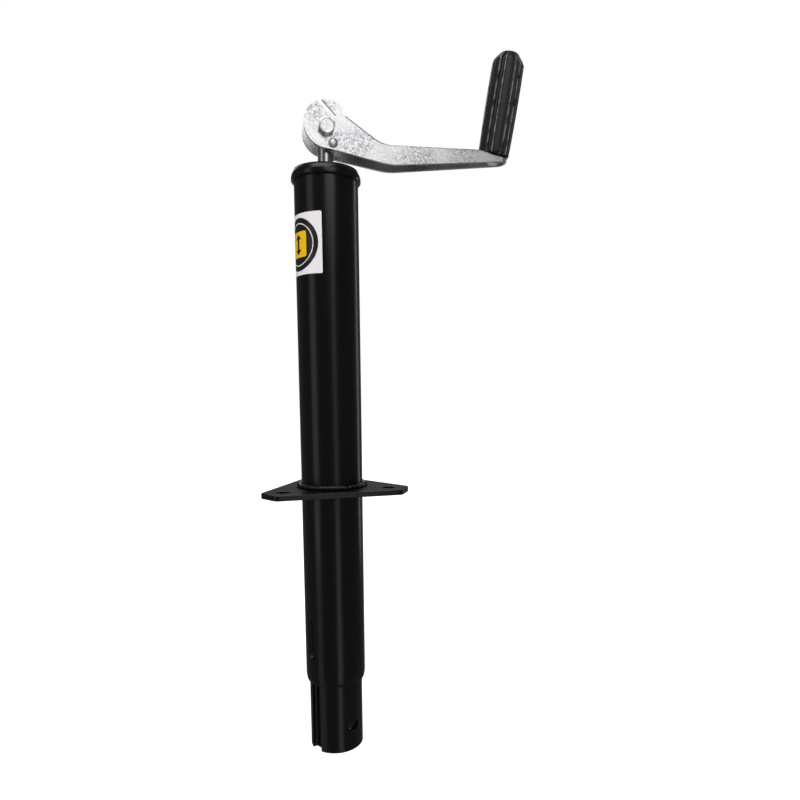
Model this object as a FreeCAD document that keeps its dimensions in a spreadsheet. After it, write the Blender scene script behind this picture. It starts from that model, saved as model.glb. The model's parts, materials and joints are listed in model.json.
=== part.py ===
"""Top-wind trailer tongue jack with a three-bolt mounting plate and a folding crank.

Frame: the origin is the centre of the mounting plate's underside, on the tube's axis. +Z points up the tube
to the crank, and -Y is the side of the leg's groove and of the plate's front corner. Millimetres throughout.
The crank's pieces are drawn about the pivot bolt (+X along the arm, the bolt along Y) and then turned to
their azimuth about the screw. The grip's pieces are drawn about their own spindle.
"""

import FreeCAD
import Part
import Sketcher
import math
import os

DOC = FreeCAD.newDocument("tongue_jack")
SHEET = DOC.addObject("Spreadsheet::Sheet", "Sizes")

SIZES = {
    # tubes
    "tube_od": 57.15, "tube_wall": 2.8, "tube_below": 184.0, "tube_above": 287.6,
    "mouth_length": 8.0, "mouth_taper": 1.2,
    "leg_clearance": 0.375, "leg_wall": 3.0, "leg_below": 250.6, "leg_above": 236.0,
    "groove_width": 11.6, "groove_depth": 4.6,
    "key_clearance": 0.6, "key_below": 119.0, "key_length": 40.0, "key_reach": 3.2,
    "press_width": 9.0, "press_depth": 3.0, "groove_round": 2.0, "groove_wall_round": 2.7,
    "foot_hole": 11.5, "foot_hole_rise": 26.0,
    # mounting plate
    "plate_thick": 5.0, "plate_apothem": 46.0, "plate_corner": 72.0, "plate_round": 6.0,
    "bolt_circle": 111.1, "bolt_hole": 12.7, "weld_leg": 4.5, "weld_crown": 2.8,
    # cap, bushing and label
    "cap_wall": 2.4, "cap_skirt": 12.0, "cap_shoulder": 6.5, "cap_rim": 1.1,
    "bush_od": 20.0, "bush_flange_od": 24.0, "bush_flange_thick": 1.5, "bush_clearance": 0.08,
    "label_width": 52.0, "label_height": 52.0, "label_thick": 0.15, "label_bottom": 195.4,
    "label_azimuth": -100.0,
    # screw and thread
    "shank_od": 14.0, "screw_od": 16.0, "screw_core": 12.4, "lead": 5.0, "crest_width": 1.35,
    "flank_width": 0.95, "thread_clearance": 0.3, "run_out": 6.0, "travel": 355.6,
    "ring_groove": 0.7, "ring_thick": 1.2, "ring_od": 20.0, "ring_gap": 0.3,
    "tail_od": 10.0, "tail_length": 10.0, "stop_gap": 2.4, "stop_washer_od": 30.0,
    "stop_washer_thick": 3.0, "stop_pin_od": 3.0,
    # thrust bearing
    "race_od": 36.0, "race_thick": 3.0, "race_gap": 4.3, "race_clearance": 0.3,
    "ball_od": 5.5, "ball_circle": 25.0, "ball_count": 12, "ball_clearance": 0.1,
    "cage_thick": 3.0, "cage_in": 17.6, "cage_out": 33.0,
    "collar_od": 30.0, "collar_height": 10.0, "collar_pin_od": 5.0,
    # nut
    "nut_od": 32.0, "nut_length": 30.0, "nut_plate_thick": 6.0, "nut_plate_gap": 1.0, "nut_weld": 1.5,
    # crank arm, about the pivot bolt
    "crank_azimuth": 56.5, "pivot_rise": 31.2, "gauge": 2.6,
    "ear_x": 0.5, "ear_z": 3.0, "ear_radius": 20.0, "ear_half": 13.0,
    "web_start": 16.5, "brow_x": 0.6, "brow_z": 22.0, "dip_x": 50.0, "dip_z": -9.4,
    "pad_x": 142.0, "pad_z": -5.6, "nose_x": 170.4, "nose_z": -10.4,
    "belly_x": 58.0, "belly_z": -26.6, "nose_height": 3.6,
    "nose_half": 7.9, "nose_round": 6.5, "bend_radius": 2.2, "dip_round": 30.0, "belly_round": 60.0,
    "slot_width": 3.8, "slot_level": 9.7, "slot_angle": 45.0, "slot_end": -1.0,
    # pivot bolt and stop rivet
    "bolt_od": 8.0, "bolt_clearance": 0.08, "bolt_spare": 2.0, "hex_across": 13.0, "bolt_head": 5.3,
    "nut_height": 8.0,
    "spacer_od": 16.0, "tang_half": 6.0, "spacer_gap": 0.1,
    "tang_drop": 14.0, "screw_head_rise": 7.8, "insert_od": 10.6, "insert_height": 2.2, "insert_lip": 0.5,
    "rivet_x": 5.5, "rivet_z": -12.6, "rivet_od": 5.8, "rivet_head_od": 8.6, "rivet_head": 1.5,
    "rivet_dome": 1.2,
    "rivet_clearance": 0.1, "notch_top": 8.0, "notch_bottom": 17.5,
    # grip and spindle
    "grip_seat": 16.3, "grip_gap": 0.3, "grip_length": 91.5, "grip_od": 30.4, "grip_foot_od": 28.8,
    "grip_neck_od": 29.6, "grip_belly": 50.3,
    "grip_top_od": 18.5, "grip_shoulder": 8.0, "flute_count": 6, "flute_width": 4.4, "flute_depth": 2.2,
    "spindle_od": 10.0, "spindle_clearance": 0.15, "spindle_head_od": 12.6, "spindle_head": 2.2,
    "spindle_dome": 2.0,
    "rivet_boss_od": 11.0, "rivet_boss": 4.6, "boss_round": 1.8,
}

# places that several pieces share, worked out from the sizes above
PLACES = {
    "tube_radius": "=tube_od / 2",
    "bore_radius": "=tube_od / 2 - tube_wall",
    "leg_radius": "=tube_od / 2 - tube_wall - leg_clearance",
    "key_width": "=groove_width - 2 * key_clearance",
    "cap_top": "=tube_above + cap_wall",
    "pivot_height": "=tube_above + cap_wall + pivot_rise",
    "ball_level": "=tube_above - race_thick - race_gap / 2",
    "collar_top": "=tube_above - 2 * race_thick - race_gap",
    "thread_top": "=tube_above - 2 * race_thick - race_gap - collar_height - run_out",
    "thread_bottom": "=leg_above - nut_length - travel - stop_gap",
    "groove_half": "=groove_width / 2 + leg_wall",
    "groove_side": "=sqrt((leg_radius - leg_wall) ^ 2 - groove_half ^ 2)"
                   " + groove_depth + leg_wall - leg_radius",
    "shank_radius": "=shank_od / 2",
    "web_slope": "=atan((brow_z - dip_z) / (dip_x - brow_x))",
    "pad_slope": "=atan((pad_z - nose_z) / (nose_x - pad_x))",
}


def fill_sheet():
    for row, (name, value) in enumerate({**SIZES, **PLACES}.items(), 1):
        SHEET.set(f"A{row}", name)
        SHEET.set(f"B{row}", str(value))
        SHEET.setAlias(f"B{row}", name)
    DOC.recompute()


def size(name):
    """A sheet value as a plain number, for choosing edges and for checks."""
    return float(getattr(SHEET.get(name), "Value", SHEET.get(name)))


def bind(thing, **sizes):
    """Binds each property to an expression in the sheet's names."""
    for name, expression in sizes.items():
        thing.setExpression(name.replace("__", "."), expand(expression))
    return thing


def expand(expression):
    """Writes each sheet name in an expression as Sizes.name."""
    words = []
    word = ""
    for letter in str(expression) + " ":
        if letter.isalnum() or letter == "_":
            word += letter
            continue
        words.append(f"Sizes.{word}" if word in SIZES or word in PLACES else word)
        words.append(letter)
        word = ""
    return "".join(words).strip()


# ---------------------------------------------------------------- features

def body(label):
    made = DOC.addObject("PartDesign::Body", label)
    made.Label = label
    made.AllowCompound = True
    return made


def datum(owner, role):
    return next(item for item in owner.Origin.OriginFeatures if item.Role == role)


def sketch(owner, name, role, lift="0"):
    """An empty sketch on one of a body's origin planes, lifted along that plane's normal."""
    made = owner.newObject("Sketcher::SketchObject", name)
    made.AttachmentSupport = [(datum(owner, role), "")]
    made.MapMode = "FlatFace"
    return bind(made, AttachmentOffset__Base__z=lift)


def draw(made, points):
    """A closed outline of straight edges. Each point is a pair of expressions."""
    count = len(points)
    ring = [FreeCAD.Vector(math.cos(turn), math.sin(turn), 0) * 10
            for turn in (2 * math.pi * step / count for step in range(count))]
    for step in range(count):
        made.addGeometry(Part.LineSegment(ring[step], ring[(step + 1) % count]), False)
    for step in range(count):
        made.addConstraint(Sketcher.Constraint("Coincident", step, 2, (step + 1) % count, 1))
    for step, point in enumerate(points):
        for kind, expression, start in zip(("DistanceX", "DistanceY"), point, ring[step]):
            at = made.addConstraint(Sketcher.Constraint(kind, -1, 1, step, 1, start))
            made.setExpression(f"Constraints[{at}]", expand(expression))
    return made


def ring_at(made, radius, across="0", up="0"):
    """A circle in a sketch."""
    edge = made.addGeometry(Part.Circle(FreeCAD.Vector(3, 4, 0), FreeCAD.Vector(0, 0, 1), 5), False)
    for constraint, expression in (
        (Sketcher.Constraint("Radius", edge, 5), radius),
        (Sketcher.Constraint("DistanceX", -1, 1, edge, 3, 3), across),
        (Sketcher.Constraint("DistanceY", -1, 1, edge, 3, 4), up),
    ):
        at = made.addConstraint(constraint)
        made.setExpression(f"Constraints[{at}]", expand(expression))
    return made


def feature(owner, kind, name, profile, **sizes):
    made = owner.newObject(f"PartDesign::{kind}", name)
    made.Profile = profile
    return bind(made, **sizes)


def turned(label, points):
    """A body turned about Z from an outline of (radius, height) expressions."""
    made = body(label)
    outline = draw(sketch(made, f"{label}_outline", "XZ_Plane"), points)
    revolve = made.newObject("PartDesign::Revolution", f"{label}_turn")
    revolve.Profile = outline
    revolve.ReferenceAxis = (outline, ["V_Axis"])
    revolve.Angle = 360
    return made


def primitive(owner, kind, name, base=("0", "0", "0"), turn=None, **sizes):
    """An additive or subtractive primitive. turn is an axis and the expression of an angle about it."""
    made = owner.newObject(f"PartDesign::{kind}", name)
    made.AttachmentSupport = [(datum(owner, "XY_Plane"), "")]
    made.MapMode = "FlatFace"
    if turn:
        made.AttachmentOffset = FreeCAD.Placement(FreeCAD.Vector(), FreeCAD.Rotation(turn[0], 1))
        bind(made, AttachmentOffset__Rotation__Angle=turn[1])
    for letter, expression in zip("xyz", base):
        bind(made, **{f"AttachmentOffset__Base__{letter}": expression})
    return bind(made, **sizes)


def cut_thread(owner, profile, height):
    """Cuts a left-hand helical thread round the body's Z axis."""
    made = owner.newObject("PartDesign::SubtractiveHelix", f"{owner.Label}_thread")
    made.Profile = profile
    made.ReferenceAxis = (datum(owner, "Z_Axis"), [""])
    made.Mode = 0
    made.LeftHanded = True
    made.Refine = False
    return bind(made, Pitch="lead", Height=height)


def polar(owner, tool, count):
    """Repeats a feature about the body's Z axis."""
    made = owner.newObject("PartDesign::PolarPattern", f"{tool.Name}_pattern")
    made.Originals = [tool]
    made.Axis = (datum(owner, "Z_Axis"), [""])
    made.Angle = 360
    bind(made, Occurrences=count)
    owner.Tip = made
    return made


def dress(owner, kind, name, amount, chosen):
    """Fillets or chamfers the edges of the body's last shape that pass a test."""
    DOC.recompute()
    base = owner.Tip
    names = [f"Edge{at}" for at, edge in enumerate(base.Shape.Edges, 1) if chosen(edge)]
    if not names:
        raise ValueError(f"{name}: no edge to dress")
    made = owner.newObject(f"PartDesign::{kind}", name)
    made.Base = (base, names)
    return bind(made, **{"Radius" if kind == "Fillet" else "Size": amount})


def near(value, wanted, slack=1e-3):
    return abs(value - wanted) < slack


def is_circle(edge, radius, height):
    """True for a round edge about Z of this radius at this height."""
    curve = edge.Curve
    return (isinstance(curve, Part.Circle) and near(curve.Radius, radius)
            and near(curve.Center.z, height) and near(math.hypot(curve.Center.x, curve.Center.y), 0))


# ---------------------------------------------------------------- placements

Z_AXIS = FreeCAD.Vector(0, 0, 1)
X_AXIS = FreeCAD.Vector(1, 0, 0)
Y_AXIS = FreeCAD.Vector(0, 1, 0)
CRANK_TURN = "rotation(vector(0; 0; 1); crank_azimuth)"
ON_SCREW = f"placement(vector(0; 0; 0); {CRANK_TURN})"
ON_CRANK = f"placement(vector(0; 0; pivot_height); {CRANK_TURN})"
ON_GRIP = (
    f"{ON_CRANK} * placement(vector(pad_x + grip_seat * cos(pad_slope); 0;"
    " pad_z - grip_seat * sin(pad_slope)); rotation(vector(0; 1; 0); pad_slope))"
)


def place(thing, expression):
    return bind(thing, Placement=expression)


# ---------------------------------------------------------------- housing

def outer_tube():
    """The welded tube, rolled in at its mouth, with the pressed key that runs in the leg's groove."""
    made = turned("outer_tube", [
        ("bore_radius", "-tube_below"),
        ("tube_radius - mouth_taper", "-tube_below"),
        ("tube_radius", "mouth_length - tube_below"),
        ("tube_radius", "tube_above"),
        ("bore_radius", "tube_above"),
    ])
    key = sketch(made, "key_outline", "XZ_Plane")
    slot(key, "key_width / 2", "-key_below - key_length", "-key_below")
    pad = feature(made, "Pad", "key", key, Length="bore_radius")
    pad.Reversed = False
    primitive(made, "SubtractiveCylinder", "key_face", base=("0", "0", "-key_below - 2 * key_length"),
              Radius="bore_radius - key_reach", Height="3 * key_length")
    press = sketch(made, "press_outline", "XZ_Plane", lift="tube_radius - press_depth")
    inset = "(key_width - press_width) / 2"
    slot(press, "press_width / 2", f"-key_below - key_length + {inset}", f"-key_below - {inset}")
    pocket = feature(made, "Pocket", "press", press, Length="tube_radius")
    pocket.Reversed = True
    return made


def slot(made, half, low, high):
    """A round-ended upright slot outline, centred on the sketch's vertical axis."""
    up = FreeCAD.Vector(0, 1, 0)
    top = Part.ArcOfCircle(Part.Circle(FreeCAD.Vector(0, 40, 0), Z_AXIS, 5), 0, math.pi)
    foot = Part.ArcOfCircle(Part.Circle(FreeCAD.Vector(0, 0, 0), Z_AXIS, 5), math.pi, 2 * math.pi)
    left = Part.LineSegment(up * 40 - X_AXIS * 5, -X_AXIS * 5)
    right = Part.LineSegment(X_AXIS * 5, up * 40 + X_AXIS * 5)
    at_top, at_left, at_foot, at_right = made.addGeometry([top, left, foot, right], False)
    for pair in ((at_top, 2, at_left, 1), (at_left, 2, at_foot, 1), (at_foot, 2, at_right, 1),
                 (at_right, 2, at_top, 1)):
        made.addConstraint(Sketcher.Constraint("Tangent", *pair))
    made.addConstraint(Sketcher.Constraint("Equal", at_top, at_foot))
    made.addConstraint(Sketcher.Constraint("PointOnObject", at_top, 3, -2))
    made.addConstraint(Sketcher.Constraint("PointOnObject", at_foot, 3, -2))
    for constraint, expression in (
        (Sketcher.Constraint("Radius", at_top, 5), half),
        (Sketcher.Constraint("DistanceY", -1, 1, at_top, 3, 40), f"{high} - {half}"),
        (Sketcher.Constraint("DistanceY", -1, 1, at_foot, 3, 1), f"{low} + {half}"),
    ):
        at = made.addConstraint(constraint)
        made.setExpression(f"Constraints[{at}]", expand(expression))
    return made


def top_cap():
    """The pressed cap that closes the tube and carries the screw's bushing and thrust bearing."""
    made = turned("top_cap", [
        ("tube_radius", "cap_top - cap_skirt"),
        ("tube_radius + cap_wall", "cap_top - cap_skirt"),
        ("tube_radius + cap_wall", "cap_top"),
        ("bush_od / 2", "cap_top"),
        ("bush_od / 2", "tube_above"),
        ("tube_radius", "tube_above"),
    ])
    outer = size("tube_radius") + size("cap_wall")
    top = size("cap_top")
    dress(made, "Fillet", "cap_shoulder_round", "cap_shoulder", lambda edge: is_circle(edge, outer, top))
    foot = top - size("cap_skirt")
    dress(made, "Fillet", "cap_rim_round", "cap_rim", lambda edge: is_circle(edge, outer, foot))
    return made


def cap_bushing():
    """The flanged bushing that guides the shank through the cap."""
    bore = "shank_radius + bush_clearance"
    return turned("cap_bushing", [
        (bore, "tube_above"),
        ("bush_od / 2", "tube_above"),
        ("bush_od / 2", "cap_top"),
        ("bush_flange_od / 2", "cap_top"),
        ("bush_flange_od / 2", "cap_top + bush_flange_thick"),
        (bore, "cap_top + bush_flange_thick"),
    ])


def mounting_flange():
    """The three-cornered plate, with its corners cut square and a bolt hole in each."""
    made = body("mounting_flange")
    outline = sketch(made, "plate_outline", "XY_Plane")
    half = "(plate_apothem - plate_corner * cos(60)) / sin(60)"
    corners = []
    for turn in (-90, 30, 150):
        for side in ("-", "+"):
            corners.append((
                f"plate_corner * cos({turn}) {'+' if side == '-' else '-'} {half} * sin({turn})",
                f"plate_corner * sin({turn}) {side} {half} * cos({turn})",
            ))
    draw(outline, corners)
    feature(made, "Pad", "plate", outline, Length="plate_thick")
    bore = ring_at(sketch(made, "tube_hole_outline", "XY_Plane", lift="plate_thick"), "tube_radius")
    feature(made, "Pocket", "tube_hole", bore, Length="plate_thick")
    hole = sketch(made, "bolt_hole_outline", "XY_Plane", lift="plate_thick")
    ring_at(hole, "bolt_hole / 2", up="-bolt_circle / 2")
    polar(made, feature(made, "Pocket", "bolt_hole_cut", hole, Length="plate_thick"), "3")
    reach = size("bolt_circle") / 2 + size("bolt_hole")
    dress(made, "Fillet", "plate_corners", "plate_round", lambda edge: (
        isinstance(edge.Curve, Part.Line) and near(edge.BoundBox.ZLength, size("plate_thick"))
        and math.hypot(edge.CenterOfMass.x, edge.CenterOfMass.y) > reach))
    return made


def flange_weld():
    """The fillet weld that runs round the tube on top of the plate."""
    return turned("flange_weld", [
        ("tube_radius", "plate_thick"),
        ("tube_radius + weld_leg", "plate_thick"),
        ("tube_radius + weld_crown", "plate_thick + weld_crown"),
        ("tube_radius", "plate_thick + weld_leg"),
    ])


def label():
    """The square sticker, bent round the tube."""
    made = body("label")
    outline = draw(sketch(made, "label_outline", "XZ_Plane"), [
        ("tube_radius", "label_bottom"),
        ("tube_radius + label_thick", "label_bottom"),
        ("tube_radius + label_thick", "label_bottom + label_height"),
        ("tube_radius", "label_bottom + label_height"),
    ])
    revolve = made.newObject("PartDesign::Revolution", "label_turn")
    revolve.Profile = outline
    revolve.ReferenceAxis = (outline, ["V_Axis"])
    revolve.Midplane = True
    bind(revolve, Angle="label_width / tube_radius * 180 / pi")
    return place(made, "placement(vector(0; 0; 0); rotation(vector(0; 0; 1); label_azimuth))")


# ---------------------------------------------------------------- thrust bearing

def race(name, face, back):
    """A thrust washer with a ball groove in its face."""
    made = turned(name, [
        ("shank_radius + race_clearance", face),
        ("race_od / 2", face),
        ("race_od / 2", back),
        ("shank_radius + race_clearance", back),
    ])
    primitive(made, "SubtractiveTorus", f"{name}_groove", base=("0", "0", "ball_level"),
              Radius1="ball_circle / 2", Radius2="ball_od / 2 + ball_clearance")
    return made


def bearing_balls():
    made = body("bearing_balls")
    ball = primitive(made, "AdditiveSphere", "ball", base=("ball_circle / 2", "0", "ball_level"),
                     Radius="ball_od / 2")
    polar(made, ball, "ball_count")
    return made


def bearing_cage():
    made = turned("bearing_cage", [
        ("cage_in / 2", "ball_level - cage_thick / 2"),
        ("cage_out / 2", "ball_level - cage_thick / 2"),
        ("cage_out / 2", "ball_level + cage_thick / 2"),
        ("cage_in / 2", "ball_level + cage_thick / 2"),
    ])
    pocket = primitive(made, "SubtractiveCylinder", "pocket",
                       base=("ball_circle / 2", "0", "ball_level - cage_thick / 2"),
                       Radius="ball_od / 2 + ball_clearance", Height="cage_thick")
    polar(made, pocket, "ball_count")
    return made


# ---------------------------------------------------------------- screw

def drive_screw():
    """Shank, thrust shoulder, left-hand thread and stop tail in one turned bar."""
    made = turned("drive_screw", [
        ("0", "thread_bottom - tail_length"),
        ("tail_od / 2", "thread_bottom - tail_length"),
        ("tail_od / 2", "thread_bottom"),
        ("screw_core / 2", "thread_bottom"),
        ("screw_od / 2", "thread_bottom + flank_width"),
        ("screw_od / 2", "thread_top + run_out"),
        ("shank_radius", "thread_top + run_out"),
        ("shank_radius", "cap_top + bush_flange_thick + ring_gap"),
        ("shank_radius - ring_groove", "cap_top + bush_flange_thick + ring_gap"),
        ("shank_radius - ring_groove", "cap_top + bush_flange_thick + ring_gap + ring_thick"),
        ("shank_radius", "cap_top + bush_flange_thick + ring_gap + ring_thick"),
        ("shank_radius", "pivot_height + screw_head_rise"),
        ("0", "pivot_height + screw_head_rise"),
    ])
    for name, offset in (("near_flat", "-tang_half - shank_radius"), ("far_flat", "tang_half")):
        primitive(made, "SubtractiveBox", name, base=("-shank_od", offset, "pivot_height - tang_drop"),
                  Length="2 * shank_od", Width="shank_radius", Height="2 * tang_drop")
    primitive(made, "SubtractiveBox", "stop_notch",
              base=("rivet_x - rivet_od / 2 - rivet_clearance", "-shank_od", "pivot_height - notch_bottom"),
              Length="shank_od", Width="2 * shank_od", Height="notch_bottom - notch_top")
    primitive(made, "SubtractiveCylinder", "pivot_hole", base=("0", "shank_od", "pivot_height"),
              turn=(X_AXIS, "90"), Radius="bolt_od / 2 + bolt_clearance", Height="2 * shank_od")
    primitive(made, "SubtractiveCylinder", "collar_pin_hole",
              base=("0", "shank_od", "collar_top - collar_height / 2"),
              turn=(X_AXIS, "90"), Radius="collar_pin_od / 2", Height="2 * shank_od")
    primitive(made, "SubtractiveCylinder", "stop_pin_hole",
              base=("0", "shank_od", "thread_bottom - stop_washer_thick - stop_pin_od / 2"),
              turn=(X_AXIS, "90"), Radius="stop_pin_od / 2", Height="2 * shank_od")
    outside = "screw_od / 2 + thread_clearance"
    valley = draw(sketch(made, "valley_outline", "XZ_Plane"), [
        ("screw_core / 2", "thread_bottom - lead + 2 * flank_width + crest_width"),
        ("screw_od / 2", "thread_bottom - lead + flank_width + crest_width"),
        (outside, "thread_bottom - lead + flank_width + crest_width"),
        (outside, "thread_bottom + flank_width"),
        ("screw_od / 2", "thread_bottom + flank_width"),
        ("screw_core / 2", "thread_bottom"),
    ])
    cut_thread(made, valley, "thread_top - thread_bottom")
    return place(made, ON_SCREW)


def retaining_ring():
    """The open ring above the bushing that keeps the screw from dropping."""
    low = "cap_top + bush_flange_thick + ring_gap"
    made = turned("retaining_ring", [
        ("shank_radius - ring_groove", low),
        ("ring_od / 2", low),
        ("ring_od / 2", f"{low} + ring_thick"),
        ("shank_radius - ring_groove", f"{low} + ring_thick"),
    ])
    primitive(made, "SubtractiveBox", "ring_mouth", base=("0", "-shank_radius / 3", f"{low} - ring_thick"),
              Length="ring_od", Width="2 * shank_radius / 3", Height="3 * ring_thick")
    return place(made, ON_SCREW)


def thrust_collar():
    made = turned("thrust_collar", [
        ("shank_radius", "collar_top - collar_height"),
        ("collar_od / 2", "collar_top - collar_height"),
        ("collar_od / 2", "collar_top"),
        ("shank_radius", "collar_top"),
    ])
    primitive(made, "SubtractiveCylinder", "collar_hole", turn=(X_AXIS, "90"),
              base=("0", "collar_od", "collar_top - collar_height / 2"),
              Radius="collar_pin_od / 2", Height="2 * collar_od")
    return place(made, ON_SCREW)


def cross_pin(name, across, length, level):
    """A pin through the screw, along the crank's pivot direction."""
    made = body(name)
    primitive(made, "AdditiveCylinder", f"{name}_rod", base=("0", f"{length} / 2", level),
              turn=(X_AXIS, "90"), Radius=f"{across} / 2", Height=length)
    return place(made, ON_SCREW)


def stop_washer():
    return turned("stop_washer", [
        ("tail_od / 2", "thread_bottom - stop_washer_thick"),
        ("stop_washer_od / 2", "thread_bottom - stop_washer_thick"),
        ("stop_washer_od / 2", "thread_bottom"),
        ("tail_od / 2", "thread_bottom"),
    ])


# ---------------------------------------------------------------- leg

def inner_tube():
    """The leg: a tube with one long formed groove and the foot's pin hole across its lower end."""
    length = "leg_above + leg_below"
    made = turned("inner_tube", [
        ("leg_radius - leg_wall", "-leg_below"),
        ("leg_radius", "-leg_below"),
        ("leg_radius", "leg_above"),
        ("leg_radius - leg_wall", "leg_above"),
    ])
    primitive(made, "AdditiveBox", "groove_wall",
              base=("-groove_half", "leg_wall * 3 / 4 - leg_radius", "-leg_below"),
              Length="2 * groove_half", Width="groove_depth + leg_wall / 4", Height=length)
    full = size("leg_above") + size("leg_below")
    inside = size("groove_depth") + size("leg_wall") - size("leg_radius")
    dress(made, "Fillet", "groove_wall_edges", "min(groove_wall_round; groove_side * 0.9)",
          lambda edge: near(edge.BoundBox.ZLength, full) and near(edge.CenterOfMass.y, inside))
    primitive(made, "SubtractiveBox", "groove", base=("-groove_width / 2", "-2 * leg_radius", "-leg_below"),
              Length="groove_width", Width="leg_radius + groove_depth", Height=length)
    floor = size("groove_depth") - size("leg_radius")
    dress(made, "Fillet", "groove_edges", "groove_round",
          lambda edge: near(edge.BoundBox.ZLength, full) and near(edge.CenterOfMass.y, floor))
    primitive(made, "SubtractiveCylinder", "foot_hole_cut",
              base=("-tube_od", "0", "foot_hole_rise - leg_below"), turn=(Y_AXIS, "90"),
              Radius="foot_hole / 2", Height="2 * tube_od")
    return made


def nut_plate():
    """The plate on top of the leg, notched for the key and holding the nut."""
    made = turned("nut_plate", [
        ("screw_od / 2 + nut_plate_gap", "leg_above"),
        ("leg_radius", "leg_above"),
        ("leg_radius", "leg_above + nut_plate_thick"),
        ("screw_od / 2 + nut_plate_gap", "leg_above + nut_plate_thick"),
    ])
    primitive(made, "SubtractiveBox", "key_notch", base=("-groove_width / 2", "-2 * leg_radius", "leg_above"),
              Length="groove_width", Width="leg_radius + groove_depth", Height="nut_plate_thick")
    return made


def drive_nut():
    """The round nut under the plate. Its thread follows the screw's, a clearance away all round."""
    low = "leg_above - nut_length"
    bore = "screw_core / 2 + thread_clearance"
    made = turned("drive_nut", [
        (bore, low),
        ("nut_od / 2", low),
        ("nut_od / 2", "leg_above"),
        (bore, "leg_above"),
    ])
    start = f"thread_bottom + lead * (floor(({low} - thread_bottom) / lead) - 1)"
    rise = "2 * flank_width + crest_width"
    groove = draw(sketch(made, "groove_outline", "XZ_Plane"), [
        ("screw_core / 2", f"{start} - thread_clearance"),
        (bore, f"{start} - thread_clearance"),
        ("screw_od / 2 + thread_clearance", f"{start} + flank_width - thread_clearance"),
        ("screw_od / 2 + thread_clearance", f"{start} + flank_width + crest_width + thread_clearance"),
        (bore, f"{start} + {rise} + thread_clearance"),
        ("screw_core / 2", f"{start} + {rise} + thread_clearance"),
    ])
    cut_thread(made, groove, "nut_length + 3 * lead")
    return place(made, ON_SCREW)


def nut_weld():
    return turned("nut_weld", [
        ("nut_od / 2", "leg_above - nut_weld"),
        ("nut_od / 2 + nut_weld", "leg_above"),
        ("nut_od / 2", "leg_above"),
    ])


# ---------------------------------------------------------------- crank

def outline(name, points):
    """A closed outline in a free sketch."""
    return draw(DOC.addObject("Sketcher::SketchObject", name), points)


def prism(name, profile, width, plane):
    """A sketch pushed out both ways by half its width. The side plane is XZ and the plan plane is XY."""
    if plane == "side":
        profile.Placement = FreeCAD.Placement(FreeCAD.Vector(), FreeCAD.Rotation(X_AXIS, 90))
    made = DOC.addObject("Part::Extrusion", name)
    made.Base = profile
    made.DirMode = "Normal"
    made.Solid = True
    made.Symmetric = True
    return bind(made, LengthFwd=width)


def joined(kind, name, pieces):
    """A Part boolean of several pieces: MultiFuse or MultiCommon."""
    made = DOC.addObject(f"Part::{kind}", name)
    made.Shapes = pieces
    return made


def cut(name, base, tool):
    made = DOC.addObject("Part::Cut", name)
    made.Base = base
    made.Tool = tool
    return made


def rod(name, radius, width, at=("0", "0")):
    """A cylinder across the crank, centred on its XZ plane."""
    made = DOC.addObject("Part::Cylinder", name)
    made.Placement = FreeCAD.Placement(FreeCAD.Vector(0, 1, 0), FreeCAD.Rotation(X_AXIS, 90))
    return bind(made, Radius=radius, Height=width, Placement__Base__x=at[0],
                Placement__Base__y=f"({width}) / 2", Placement__Base__z=at[1])


def block(name, low, sides):
    """A box from its low corner and its three sides."""
    made = DOC.addObject("Part::Box", name)
    return bind(made, Length=sides[0], Width=sides[1], Height=sides[2], Placement__Base__x=low[0],
                Placement__Base__y=low[1], Placement__Base__z=low[2])


def rounded(name, base, corners, radius):
    """Part::Fillet on the edges whose middle lies at one of these (x, z) corners."""
    DOC.recompute()
    made = DOC.addObject("Part::Fillet", name)
    made.Base = base
    edges = []
    for at, edge in enumerate(base.Shape.Edges, 1):
        middle = edge.CenterOfMass
        if any(near(middle.x, x) and near(middle.z, z) for x, z in corners):
            edges.append((at, radius, radius))
    if len(edges) < len(corners):
        raise ValueError(f"{name}: a corner to round is missing")
    made.Edges = edges
    return made


def arm_side():
    """The arm from the side: the web dips from the ears to the arm, and the nose carries the grip's pad."""
    flat = prism("arm_side", outline("arm_side_outline", [
        ("brow_x", "brow_z"), ("dip_x", "dip_z"), ("pad_x", "pad_z"), ("nose_x", "nose_z"),
        ("nose_x", "nose_z - nose_height"), ("belly_x", "belly_z"), ("ear_x", "ear_z - ear_radius"),
    ]), "4 * ear_radius", "side")
    dip = rounded("arm_dip", flat, [(size("dip_x"), size("dip_z"))], size("dip_round"))
    pad = rounded("arm_pad", dip, [(size("pad_x"), size("pad_z"))], size("dip_round") / 2)
    return rounded("arm_belly", pad, [(size("belly_x"), size("belly_z"))], size("belly_round"))


def arm_plan(name, inset):
    """The arm from above: a straight taper to a nose with round corners, all drawn in by an inset."""
    plan = prism(f"{name}_plan", outline(f"{name}_plan_outline", [
        ("web_start", f"{inset} - ear_half"),
        (f"nose_x - {inset}", f"{inset} - nose_half"),
        (f"nose_x - {inset}", f"nose_half - {inset}"),
        ("web_start", f"ear_half - {inset}"),
    ]), "4 * ear_radius", "plan")
    depth = size("gauge") if inset == "gauge" else 0
    return rounded(f"{name}_nose", plan, [(size("nose_x") - depth, 0)], size("nose_round") - depth)


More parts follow.
